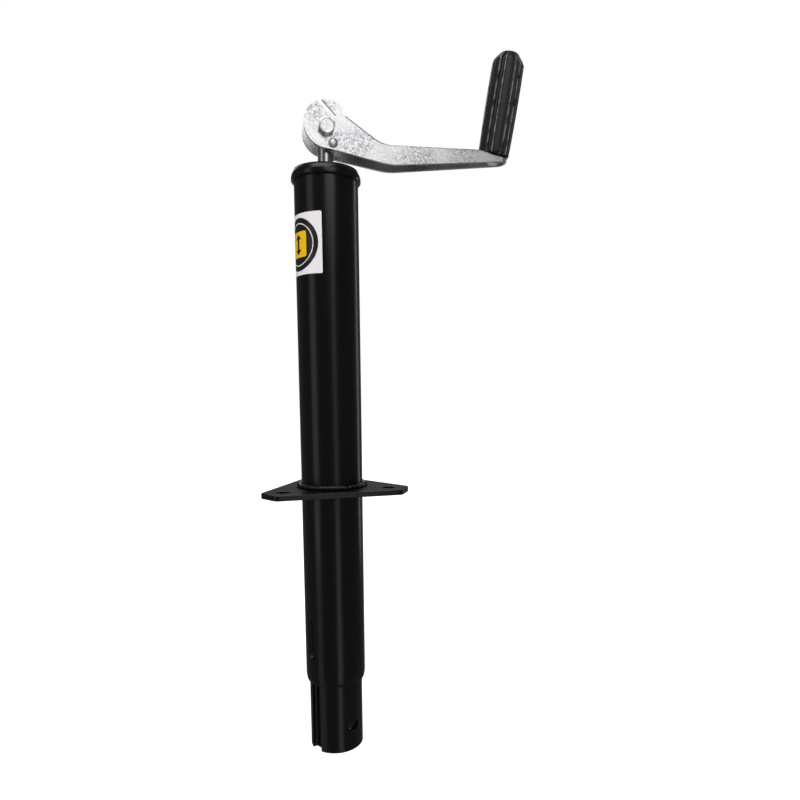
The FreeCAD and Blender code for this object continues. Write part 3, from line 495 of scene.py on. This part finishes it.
def key_press(angle, height, sizes):
    """How much of the key's press reaches a point of the tube: 0 outside, 1 on its floor."""
    turn = (angle + math.pi / 2 + math.pi) % (2 * math.pi) - math.pi
    across = turn * sizes.tube_radius
    half = sizes.press_width / 2
    low = TUBE[0].z + sizes.press_low + half
    high = TUBE[0].z + sizes.press_low + sizes.press_length - half
    inside = half - math.hypot(across, height - min(max(height, low), high))
    share = min(max(inside / sizes.press_edge, 0), 1)
    return share * share * (3 - 2 * share)


class JACK_OT_tube(bpy.types.Operator):
    """The welded tube, with its rolled mouth and the pressed key near its foot"""
    bl_idname = "jack.tube"
    bl_label = "Tube"

    def execute(self, context):
        sizes = context.scene.jack_sizes
        bottom = TUBE[0].z
        top = TUBE[1].z
        radius = sizes.tube_radius
        inner = radius - sizes.tube_wall
        key_low = bottom + sizes.press_low
        key_high = key_low + sizes.press_length
        key_rows = 52
        mouth_rows = 8
        upper_rows = 24
        lip = 0.6 * MM
        fine = [key_low + (key_high - key_low) * (row / key_rows)
                for row in range(-1, key_rows + 2)]
        outside = arc(radius - sizes.mouth_taper - lip, bottom + lip, lip, -90, 0, 4)
        outside += [(radius - sizes.mouth_taper * (1 - row / mouth_rows) ** 2,
                     bottom + sizes.mouth_length * row / mouth_rows)
                    for row in range(1, mouth_rows + 1)]
        outside += [(radius, z) for z in fine]
        outside += [(radius, key_high + (top - key_high) * row / upper_rows)
                    for row in range(1, upper_rows + 1)]
        inside = [(inner, top)] + [(inner, z) for z in reversed(fine)] + [(inner, bottom)]
        middle = radius - sizes.tube_wall / 2
        inner_depth = sizes.press_depth * 1.1

        def press(angle, here, height):
            share = key_press(angle, height, sizes)
            return here - share * (sizes.press_depth if here > middle else inner_depth)

        # half a degree apart round the key, which faces -Y, and wider apart elsewhere
        front = -math.pi / 2
        near = [front + math.radians(turn * 0.5) for turn in range(-32, 33)]
        rest = 2 * math.pi - (near[-1] - near[0])
        steps = 150
        angles = near + [near[-1] + rest * step / steps for step in range(1, steps)]
        mesh = to_mesh("tube", lathe(outside + inside, angles, press), "baked_powder_coat")
        new_piece("tube", mesh, "housing", "black_powder_coat", "outer_tube")
        return {"FINISHED"}


class JACK_OT_cap(bpy.types.Operator):
    """The pressed cap: a low crown, a full shoulder and a rim that is rolled under"""
    bl_idname = "jack.cap"
    bl_label = "Cap"

    def execute(self, context):
        sizes = context.scene.jack_sizes
        top = CAP[1].z
        low = CAP[0].z
        outer = CAP[1].x
        hole = sizes.bushing_radius
        crown = 0.9 * MM
        flat = 21 * MM
        belly = low + 2.9 * MM
        curl = 1.5 * MM
        rows = 8
        crowned = [(hole + (flat - hole) * row / rows, top - crown * (row / rows) ** 2)
                   for row in range(rows + 1)]
        # powers below 1 make the shoulder fuller than a quarter of an ellipse
        turns = [math.radians(90 - 90 * step / 16) for step in range(1, 16)]
        shoulder = [(flat + (outer - flat) * math.cos(turn) ** 0.8,
                     belly + (top - crown - belly) * math.sin(turn) ** 0.9) for turn in turns]
        shoulder.append((outer, belly))
        rim = arc(outer - curl, low + curl, curl, 0, -80, 8)
        tube = sizes.tube_radius + 0.05 * MM
        inside = [(tube, low), (tube, TUBE[1].z + PLAY), (hole, TUBE[1].z + PLAY)]
        shape = lathe(crowned + shoulder + rim + inside, even(192))
        mesh = to_mesh("cap", shape, "baked_powder_coat")
        new_piece("cap", mesh, "housing", "black_powder_coat", "top_cap")
        return {"FINISHED"}


# ---------------------------------------------------------------- plate and weld

def weld_tree():
    """Geometry nodes for a weld bead: overlapping ripples along a circle, no two alike."""
    tree = bpy.data.node_groups.new("weld_ripples", "GeometryNodeTree")
    tree.interface.new_socket("Geometry", in_out="OUTPUT", socket_type="NodeSocketGeometry")
    for name, kind in (("Radius", "Float"), ("Height", "Float"), ("Pitch", "Float"),
                       ("Bead", "Float"), ("Finish", "Material")):
        tree.interface.new_socket(name, in_out="INPUT", socket_type="NodeSocket" + kind)
    sizes = add(tree, "NodeGroupInput").outputs
    circle = add(tree, "GeometryNodeCurvePrimitiveCircle", {
        "Resolution": 128, "Radius": sizes["Radius"]})
    spaced = add(tree, "GeometryNodeResampleCurve", {
        "Curve": circle.outputs["Curve"], "Length": sizes["Pitch"]}, mode="LENGTH")
    lift = add(tree, "ShaderNodeCombineXYZ", {"Z": sizes["Height"]})
    raised = add(tree, "GeometryNodeTransform", {
        "Geometry": spaced.outputs[0], "Translation": lift.outputs[0]})
    sway = add(tree, "FunctionNodeRandomValue", {
        "Min": (-0.12, -0.12, -0.12), "Max": (0.12, 0.12, 0.12), "Seed": 7},
        data_type="FLOAT_VECTOR")
    shift = add(tree, "ShaderNodeVectorMath", {
        0: sway.outputs["Value"], "Scale": sizes["Bead"]}, operation="SCALE")
    loose = add(tree, "GeometryNodeSetPosition", {
        "Geometry": raised.outputs[0], "Offset": shift.outputs[0]})
    ball = add(tree, "GeometryNodeMeshUVSphere", {
        "Segments": 16, "Rings": 10, "Radius": sizes["Bead"]})
    tangent = add(tree, "GeometryNodeInputTangent")
    turn = add(tree, "FunctionNodeAlignRotationToVector", {
        "Vector": tangent.outputs[0]}, axis="X")
    growth = add(tree, "FunctionNodeRandomValue", {
        "Min": (0.62, 0.86, 0.8), "Max": (0.82, 1.12, 1.1), "Seed": 11},
        data_type="FLOAT_VECTOR")
    beads = add(tree, "GeometryNodeInstanceOnPoints", {
        "Points": loose.outputs[0], "Instance": ball.outputs["Mesh"],
        "Rotation": turn.outputs[0], "Scale": growth.outputs["Value"]})
    solid = add(tree, "GeometryNodeRealizeInstances", {"Geometry": beads.outputs[0]})
    painted = add(tree, "GeometryNodeSetMaterial", {
        "Geometry": solid.outputs[0], "Material": sizes["Finish"]})
    add(tree, "NodeGroupOutput", {"Geometry": painted.outputs[0]})
    return tree


def grown(tree, values):
    """The plain mesh that a geometry node tree makes with these values for its named inputs."""
    holder = bpy.data.objects.new("holder", bpy.data.meshes.new("holder"))
    modifier = holder.modifiers.new("nodes", "NODES")
    modifier.node_group = tree
    for item in tree.interface.items_tree:
        if item.in_out == "INPUT":
            modifier[item.identifier] = values[item.name]
    return plain(holder)


class JACK_OT_plate(bpy.types.Operator):
    """The three-cornered plate, with sheared edges eased by the paint"""
    bl_idname = "jack.plate"
    bl_label = "Plate"

    def execute(self, context):
        edge = context.scene.jack_sizes.sheared_edge * 1.6
        mesh = softened("mounting_flange", "baked_powder_coat", edge)
        new_piece("plate", mesh, "housing", "black_powder_coat", "mounting_flange")
        return {"FINISHED"}


class JACK_OT_weld(bpy.types.Operator):
    """The painted fillet weld round the tube on top of the plate"""
    bl_idname = "jack.weld"
    bl_label = "Weld"

    def execute(self, context):
        sizes = context.scene.jack_sizes
        bead = sizes.weld_leg * 0.66
        mesh = grown(weld_tree(), {
            "Radius": sizes.tube_radius + bead * 0.55, "Height": PLATE[1].z + bead * 0.5,
            "Pitch": sizes.weld_pitch, "Bead": bead, "Finish": finish("baked_powder_coat")})
        # one skin over all the beads, which loses their material
        fused = applied(
            mesh,
            ("REMESH", {"mode": "VOXEL", "voxel_size": 0.45 * MM}),
            ("SMOOTH", {"factor": 0.5, "iterations": 2}),
        )
        fused.materials.clear()
        fused.materials.append(finish("baked_powder_coat"))
        fused.shade_smooth()
        new_piece("weld", fused, "housing", "black_powder_coat", "flange_weld")
        return {"FINISHED"}


# ---------------------------------------------------------------- label

def wrapped(outline, lift, middle):
    """A flat outline of (across, up) points bent round the tube, as a row of thin strips.
    middle is the label's (angle, height), and lift is its distance from the tube."""
    shape = bmesh.new()
    radius = bpy.context.scene.jack_sizes.tube_radius + lift
    shape.faces.new([shape.verts.new((across, 0, up)) for across, up in outline])
    left = min(across for across, _ in outline)
    right = max(across for across, _ in outline)
    strip = 1.2 * MM
    for step in range(1, int((right - left) / strip) + 1):
        everything = shape.verts[:] + shape.edges[:] + shape.faces[:]
        cut = (left + step * strip, 0, 0)
        bmesh.ops.bisect_plane(shape, geom=everything, plane_co=cut, plane_no=(1, 0, 0))
    for vert in shape.verts:
        angle = middle[0] + vert.co.x / radius
        vert.co = (radius * math.cos(angle), radius * math.sin(angle), middle[1] + vert.co.z)
    return shape


def disc(radius, steps=96):
    return [(radius * math.cos(turn), radius * math.sin(turn)) for turn in even(steps)]


def rounded_square(half, corner):
    points = []
    for turn, side in enumerate(((1, 1), (-1, 1), (-1, -1), (1, -1))):
        centre = (side[0] * (half - corner), side[1] * (half - corner))
        points += arc(*centre, corner, 90 * turn, 90 * turn + 90, 5)
    return points


def double_arrow(tall, head, shaft, wing):
    """An upright arrow with a head at each end."""
    half = [(shaft, 0), (shaft, tall - head), (wing, tall - head), (0, tall),
            (-wing, tall - head), (-shaft, tall - head), (-shaft, 0)]
    return half + [(-across, -up) for across, up in half][1:-1]


class JACK_OT_label(bpy.types.Operator):
    """The square vinyl label: a black disc with a plain up and down arrow"""
    bl_idname = "jack.label"
    bl_label = "Label"

    def execute(self, context):
        centre = (LABEL[0] + LABEL[1]) / 2
        middle = (math.radians(-100), centre.z)
        half = (LABEL[1].z - LABEL[0].z) / 2
        arrow = double_arrow(half * 0.34, half * 0.17, half * 0.06, half * 0.18)
        # from the sheet up to the arrow: each layer's outline, ink and distance in mm from the tube
        layers = (
            (rounded_square(half, 1.2 * MM), "vinyl_white", 0.11),
            (disc(half * 0.87), "vinyl_black", 0.14),
            (disc(half * 0.70), "vinyl_white", 0.17),
            (disc(half * 0.67), "vinyl_black", 0.20),
            (rounded_square(half * 0.42, half * 0.08), "vinyl_amber", 0.23),
            (arrow, "vinyl_black", 0.26),
        )
        sheet = bmesh.new()
        mesh = bpy.data.meshes.new("label")
        for at, (outline, material, lift) in enumerate(layers):
            mesh.materials.append(finish(material))
            layer = wrapped(outline, lift * MM, middle)
            for face in layer.faces:
                face.material_index = at
            absorb(sheet, layer)
        for face in sheet.faces:
            outward = Vector((face.calc_center_median().x, face.calc_center_median().y, 0))
            if face.normal.dot(outward) < 0:
                face.normal_flip()
        sheet.to_mesh(mesh)
        sheet.free()
        mesh.shade_smooth()
        new_piece("label_sticker", mesh, "housing", "label_vinyl", "label")
        return {"FINISHED"}


# ---------------------------------------------------------------- leg

class JACK_OT_leg(bpy.types.Operator):
    """The telescoping leg, with its long groove and the pin hole near its foot"""
    bl_idname = "jack.leg"
    bl_label = "Leg"

    def execute(self, context):
        mesh = softened("inner_tube", "baked_powder_coat", context.scene.jack_sizes.sheared_edge)
        new_piece("leg", mesh, "leg", "black_powder_coat", "inner_tube")
        return {"FINISHED"}


# ---------------------------------------------------------------- crank

class JACK_OT_crank(bpy.types.Operator):
    """The stamped crank arm, with its die-rounded edges"""
    bl_idname = "jack.crank"
    bl_label = "Crank arm"

    def execute(self, context):
        mesh = softened("crank_arm", "bright_zinc_plate", context.scene.jack_sizes.sheared_edge)
        new_piece("arm", mesh, "crank", "bright_zinc", "crank_arm")
        return {"FINISHED"}


def hexagon(across):
    """Limits a turned shape to a hexagon across its flats."""
    def limit(angle, radius, height):
        turn = (angle % (math.pi / 3)) - math.pi / 6
        return min(radius, across / 2 / math.cos(turn))
    return limit


def hex_profile(across, height, bearing):
    """A hexagon head's profile before it is cut to its flats: three points of the dish in its
    top, the chamfer, and the washer ring under it."""
    corner = across / 2 / math.cos(math.pi / 6)
    flat = across * 0.465
    washer = across * 0.47
    floor = height - 0.25 * MM
    drop = (corner - flat) * 0.5
    chamfer = [(flat + (corner - flat) * step / 6, height - drop * (step / 6) ** 1.15)
               for step in range(7)]
    return [(0, floor), (flat * 0.86, floor), (flat * 0.93, height)] + chamfer + [
        (corner, bearing), (washer, bearing), (washer, 0)]


class JACK_OT_fasteners(bpy.types.Operator):
    """The pivot bolt, its lock nut and the stop rivet"""
    bl_idname = "jack.fasteners"
    bl_label = "Fasteners"

    crease = 20
    washer_ring = 0.45 * MM

    def execute(self, context):
        sizes = context.scene.jack_sizes
        self.bolt(sizes)
        self.nut(sizes)
        self.rivet(sizes)
        return {"FINISHED"}

    def bolt(self, sizes):
        """A hexagon head, and a rod whose end is threaded."""
        ear = sizes.ear_half
        radius = sizes.bolt_radius
        profile = hex_profile(sizes.hex_across, sizes.bolt_head, self.washer_ring) + [(0, 0)]
        head = lathe(profile, even(HEX_SIDES), hexagon(sizes.hex_across))
        head.transform(bolt_frame(ear) @ Matrix.Rotation(math.radians(17), 4, "Z"))
        inset = 0.5 * MM
        end = 2 * ear + sizes.nut_height + 2 * MM
        turns = 11
        pitch = 1.25 * MM
        depth = 0.55 * MM
        point = 0.8 * MM
        ridges = []
        for turn in range(turns):
            low = end - point - (turns - turn) * pitch
            ridges += [(radius - depth, low), (radius, low + pitch / 2)]
        side = radius - PLAY
        shank = [(0, inset), (side, inset), (side, end - turns * pitch - pitch)]
        rod = lathe(shank + ridges + [(radius - point, end), (0, end)], even(ROD_SIDES))
        rod.transform(flipped(bolt_frame(ear + inset)))
        absorb(head, rod)
        mesh = to_mesh("pivot_hex_bolt", head, "bright_zinc_plate", self.crease)
        new_piece("pivot_hex_bolt", mesh, "crank", "bright_zinc", "pivot_bolt")

    def nut(self, sizes):
        """A hexagon with a round collar over it, and the nylon ring that the collar holds."""
        across = sizes.hex_across
        tall = sizes.nut_height
        shoulder = tall - 2.2 * MM
        collar = across * 0.43
        curl = 0.7 * MM
        side = sizes.bolt_radius + PLAY
        mouth = sizes.bolt_radius + 1.3 * MM
        # the head's profile without the dish
        outside = hex_profile(across, shoulder, self.washer_ring)[3:]
        top = [(mouth, tall), *arc(collar - curl, tall - curl, curl, 90, 0, 5),
               (collar, shoulder + 0.3 * MM)]
        bore = [(side, 0), (side, shoulder), (mouth, shoulder)]
        place = flipped(bolt_frame(-sizes.ear_half))
        nut = lathe(bore + top + outside, even(HEX_SIDES), hexagon(across))
        nut.transform(place @ Matrix.Rotation(math.radians(8), 4, "Z"))
        mesh = to_mesh("hex_lock_nut", nut, "bright_zinc_plate", self.crease)
        new_piece("hex_lock_nut", mesh, "crank", "bright_zinc", "pivot_lock_nut")
        wall = 1.2 * MM
        high = tall - 0.4 * MM
        ring = lathe([(side, shoulder), (side + wall, shoulder), (side + wall, high),
                      (side, high)], even(ROD_SIDES))
        ring.transform(place)
        new_piece("nylon_ring", to_mesh("nylon_ring", ring, "nylon_white"), "crank",
                  "insert_nylon", "lock_nut_insert")

    def rivet(self, sizes):
        """Two domed ends that meet between the ears."""
        low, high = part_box("stop_rivet")
        pivot = Vector(JOINTS["crank_fold"]["pos_m"])
        centre = (low + high) / 2 - pivot
        arm = Vector(JOINTS["grip_spin"]["pos_m"]) - pivot
        arm.z = 0
        along = (centre.dot(arm.normalized()), centre.z)
        ear = sizes.ear_half
        radius = sizes.rivet_radius
        tall = sizes.rivet_head
        sunk = -0.1 * MM
        shank = radius * 0.67
        profile = dome(radius * 0.86, tall * 0.25, tall * 0.75) + [
            (radius * 0.88, 0.22 * MM), (radius, 0.12 * MM), (radius, sunk),
            (shank, sunk), (shank, -ear), (0, -ear)]
        both = bmesh.new()
        for place in (bolt_frame(ear, along), flipped(bolt_frame(-ear, along))):
            end = lathe(profile, even(ROD_SIDES))
            end.transform(place)
            absorb(both, end)
        new_piece("domed_rivet", to_mesh("domed_rivet", both, "bright_zinc_plate"), "crank",
                  "bright_zinc", "stop_rivet")


# ---------------------------------------------------------------- grip

class JACK_OT_grip(bpy.types.Operator):
    """The moulded grip: six broad panels between lipped grooves, with a ring at its middle"""
    bl_idname = "jack.grip"
    bl_label = "Grip"

    grooves = 6
    gap = 0.3 * MM

    def execute(self, context):
        sizes = context.scene.jack_sizes
        outward = Vector(JOINTS["grip_spin"]["pos_m"]) - Vector(JOINTS["crank_fold"]["pos_m"])
        place = frame_of("grip_spin", outward)
        self.moulding(sizes, place)
        self.spindle(place, self.gap + sizes.grip_length)
        return {"FINISHED"}

    def moulding(self, sizes, place):
        """The grip is turned, and its grooves and panels are pressed in from its largest shape."""
        foot = self.gap
        top = self.gap + sizes.grip_length
        largest = sizes.grip_radius
        belly = self.gap + sizes.grip_length * 0.56
        neck = self.gap + sizes.grip_length - 8 * MM
        bore = 5.2 * MM
        end = 9.4 * MM
        seam = 0.7 * MM
        heel = 0.8 * MM

        def outside(height):
            """The grip's radius at a height, before its grooves: it is largest at the belly."""
            away = (height - belly) / (belly - foot)
            return largest - 0.8 * MM * away * away

        rows = [foot + (neck - foot) * step / 60 for step in range(1, 61)]
        rows = [z for z in rows if abs(z - belly) > 1.2 * MM]
        rows = sorted(rows + [belly + side * step for side in (-1, 1)
                              for step in (1.1 * MM, seam, seam / 2)])
        rounded = arc(outside(foot) - heel, foot + heel, heel, -90, 0, 4)
        body = [(outside(z) - (0.5 * MM if abs(z - belly) <= seam / 2 else 0), z) for z in rows]
        shoulder = [(outside(neck) + (end - outside(neck)) * (step / 9) ** 1.15,
                     neck + (top - neck) * 0.95 * step / 9) for step in range(1, 10)]
        rim = [(end - 0.7 * MM, top), (bore + 0.3 * MM, top), (bore, top - 0.3 * MM)]
        profile = [(bore, foot)] + rounded + body + shoulder + rim
        half = sizes.flute_width / 2
        reach = half + sizes.lip_width
        sector = math.pi / self.grooves
        widest = sector * largest

        def from_groove(angle):
            """Distance round the grip from the middle of the nearest groove."""
            return abs((angle % (2 * math.pi / self.grooves)) - sector) * largest

        def groove(angle, radius, height):
            if radius < end - 0.1 * MM:
                return radius
            away = from_groove(angle)
            fade = min(max((radius - end) / (1.5 * MM), 0), 1)
            if away < half:
                return radius - sizes.flute_depth * fade * math.sqrt(1 - (away / half) ** 2)
            if away < reach:
                return radius
            dip = (away - reach) / (widest - reach)
            return radius - fade * 0.75 * MM * min(1, dip * 5) * (1 - 0.35 * dip)

        shape = lathe(profile, even(self.grooves * 48), groove)
        mesh = to_mesh("moulded_grip", shape, "black_polypropylene", crease=50)
        # marks the lips beside each groove, which get the pale painted highlight
        lip_highlight = mesh.attributes.new("lip_highlight", "FLOAT", "POINT")
        for vert in mesh.vertices:
            x, y, _ = vert.co
            away = from_groove(math.atan2(y, x))
            on_lip = half * 0.98 <= away <= reach * 1.02 and math.hypot(x, y) > end
            lip_highlight.data[vert.index].value = 1.0 if on_lip else 0.0
        mesh.transform(place @ Matrix.Rotation(math.radians(22), 4, "Z"))
        new_piece("moulded_grip", mesh, "grip", "grip_plastic", "grip")

    def spindle(self, place, top):
        """The headed rod in the grip: a low dome above it and a hammered rivet under the arm."""
        rod = 5 * MM
        head = 6.2 * MM
        boss = 5.4 * MM
        curl = 1.6 * MM
        sheet = -2.6 * MM
        foot = sheet - 4.4 * MM
        under = top + 0.3 * MM
        profile = dome(head, top + 0.7 * MM, 1.7 * MM) + [(head, under), (rod, under)]
        profile += [(rod, sheet), (boss, sheet)]
        profile += arc(boss - curl, foot + curl, curl, 0, -90, 6) + [(0, foot)]
        mesh = to_mesh("grip_rod", lathe(profile, even(72)), "bright_zinc_plate")
        mesh.transform(place)
        new_piece("grip_rod", mesh, "crank", "bright_zinc", "grip_spindle")


# ---------------------------------------------------------------- steel inside

class JACK_OT_steel(bpy.types.Operator):
    """Finishes on the turned, ground and moulded pieces that keep their CAD shape"""
    bl_idname = "jack.steel"
    bl_label = "Inner pieces"

    def execute(self, context):
        finishes = {
            "turned_steel": (
                "drive_screw", "thrust_collar", "collar_pin", "stop_washer", "stop_pin",
                "nut_plate"),
            "ground_bearing_steel": ("bearing_upper_race", "bearing_lower_race", "bearing_balls"),
            "phosphated_spring_steel": ("retaining_ring",),
            "sintered_bronze": ("cap_bushing", "drive_nut", "nut_weld"),
            "bright_zinc_plate": ("pivot_spacers",),
            "nylon_natural": ("bearing_cage",),
        }
        for name, nodes in finishes.items():
            for node in nodes:
                for slot in frame["nodes"][node].material_slots:
                    slot.material = finish(name)
        return {"FINISHED"}


# ---------------------------------------------------------------- stage

class JACK_OT_stage(bpy.types.Operator):
    """A pale floor, soft studio lights and the camera"""
    bl_idname = "jack.stage"
    bl_label = "Stage"

    def execute(self, context):
        self.floor(context)
        self.sky(context)
        self.lights(context)
        self.camera(context)
        context.scene.view_settings.view_transform = "Standard"
        return {"FINISHED"}

    def floor(self, context):
        """A wide floor that lets light through from below, as a light table does.
        The jack doesn't mirror it, so its black stays deep."""
        wide = 12
        glow = 1.08
        shape = bmesh.new()
        bmesh.ops.create_circle(shape, cap_ends=True, segments=96, radius=wide)
        mesh = bpy.data.meshes.new("floor")
        shape.to_mesh(mesh)
        shape.free()
        made, tree, shader, place = new_material("floor_paper", {"Roughness": 0.9})
        fibre = add(tree, "ShaderNodeTexNoise", {
            "Vector": place, "Scale": per_size(60 * MM), "Detail": 3.0})
        pale = context.scene.jack_colours.floor
        tone = add(tree, "ShaderNodeMix", {
            "Factor": fibre.outputs["Fac"], "A": rgba(pale), "B": rgba([c * 0.99 for c in pale])},
            data_type="RGBA")
        dress(tree, shader, tone)
        shader.inputs["Emission Color"].default_value = rgba(pale)
        shader.inputs["Emission Strength"].default_value = glow
        mesh.materials.append(made)
        floor = bpy.data.objects.new("floor", mesh)
        floor.location.z = CAD_BOX[0].z - 0.5 * MM
        floor.visible_glossy = False
        floor.visible_shadow = False
        context.scene.collection.objects.link(floor)

    def sky(self, context):
        """White to the camera, and a faint warm light on everything else."""
        world = bpy.data.worlds.new("studio")
        world.use_nodes = True
        context.scene.world = world
        tree = world.node_tree
        tree.nodes.clear()
        path = add(tree, "ShaderNodeLightPath")
        seen = add(tree, "ShaderNodeBackground", {"Color": (1, 1, 1, 1), "Strength": 1.0})
        soft = add(tree, "ShaderNodeBackground", {
            "Color": rgba(linear("#F6F5EA")), "Strength": 0.1})
        mix = add(tree, "ShaderNodeMixShader", {
            0: path.outputs["Is Camera Ray"], 1: soft.outputs[0], 2: seen.outputs[0]})
        add(tree, "ShaderNodeOutputWorld", {"Surface": mix.outputs[0]})

    def lights(self, context):
        """Each soft box by its azimuth and elevation in degrees, distance, width and height in
        metres, and watts."""
        boxes = {
            "left_strip": (-99, 10, 1.9, 0.7, 2.0, 2.6),
            "front_strip": (-22, 2, 2.1, 0.5, 1.5, 1.1),
            "low_strip": (-22, -32, 2.1, 0.5, 1.3, 1.2),
            "low_left": (-99, -32, 1.9, 0.6, 1.3, 0.6),
            "low_box": (135, -24, 2.0, 1.4, 1.0, 1.0),
            "right_strip": (84, 10, 1.9, 0.3, 2.0, 2.2),
            "top_box": (-60, 66, 1.8, 1.4, 1.4, 13),
            "front_fill": (-26, 32, 2.2, 1.2, 1.0, 4.6),
            "back_box": (140, 40, 2.2, 1.6, 1.2, 12),
        }
        aim = Vector((0, 0, 0.06))
        for name, (azimuth, elevation, distance, width, height, watts) in boxes.items():
            turn = math.radians(azimuth)
            rise = math.radians(elevation)
            away = Vector((math.cos(turn) * math.cos(rise), math.sin(turn) * math.cos(rise),
                           math.sin(rise)))
            data = bpy.data.lights.new(name, "AREA")
            data.shape = "RECTANGLE"
            data.size = width
            data.size_y = height
            data.energy = watts
            light = bpy.data.objects.new(name, data)
            light.location = aim + away * distance
            light.rotation_euler = away.to_track_quat("Z", "Y").to_euler()
            context.scene.collection.objects.link(light)

    def camera(self, context):
        """A wide lens at mid-height, close in front of the plate's right-hand corner."""
        data = bpy.data.cameras.new("camera")
        data.sensor_width = 36
        data.lens = 28.01
        data.shift_x = -0.011
        data.shift_y = 0.081
        data.clip_start = 0.01
        camera = bpy.data.objects.new("camera", data)
        stand = Vector((0.4558, -0.3721, 0.0940))
        forward = Vector((-0.6857, 0.7182, -0.1188))
        roll = math.radians(-0.33)
        turn = forward.to_track_quat("-Z", "Y").to_matrix().to_4x4() @ Matrix.Rotation(roll, 4, "Z")
        camera.matrix_world = Matrix.Translation(stand) @ turn
        context.scene.collection.objects.link(camera)
        context.scene.camera = camera


# ---------------------------------------------------------------- panel and registration

STEPS = (JACK_OT_stage, JACK_OT_tube, JACK_OT_cap, JACK_OT_plate, JACK_OT_weld, JACK_OT_label,
         JACK_OT_leg, JACK_OT_crank, JACK_OT_fasteners, JACK_OT_grip, JACK_OT_steel)


class JACK_PT_panel(bpy.types.Panel):
    bl_label = "Tongue jack"
    bl_idname = "JACK_PT_panel"
    bl_space_type = "VIEW_3D"
    bl_region_type = "UI"
    bl_category = "Jack"

    def draw(self, context):
        for step in STEPS:
            self.layout.operator(step.bl_idname)
        for group in (context.scene.jack_sizes, context.scene.jack_colours):
            column = self.layout.column(align=True)
            for name in group.__annotations__:
                column.prop(group, name)


CLASSES = (JackSizes, JackColours, *STEPS, JACK_PT_panel)


def register():
    for made in CLASSES:
        bpy.utils.register_class(made)
    bpy.types.Scene.jack_sizes = bpy.props.PointerProperty(type=JackSizes)
    bpy.types.Scene.jack_colours = bpy.props.PointerProperty(type=JackColours)


def unregister():
    del bpy.types.Scene.jack_colours
    del bpy.types.Scene.jack_sizes
    for made in reversed(CLASSES):
        bpy.utils.unregister_class(made)


def main():
    register()
    for step in STEPS:
        family, name = step.bl_idname.split(".")
        getattr(getattr(bpy.ops, family), name)()


if __name__ == "__main__":
    main()
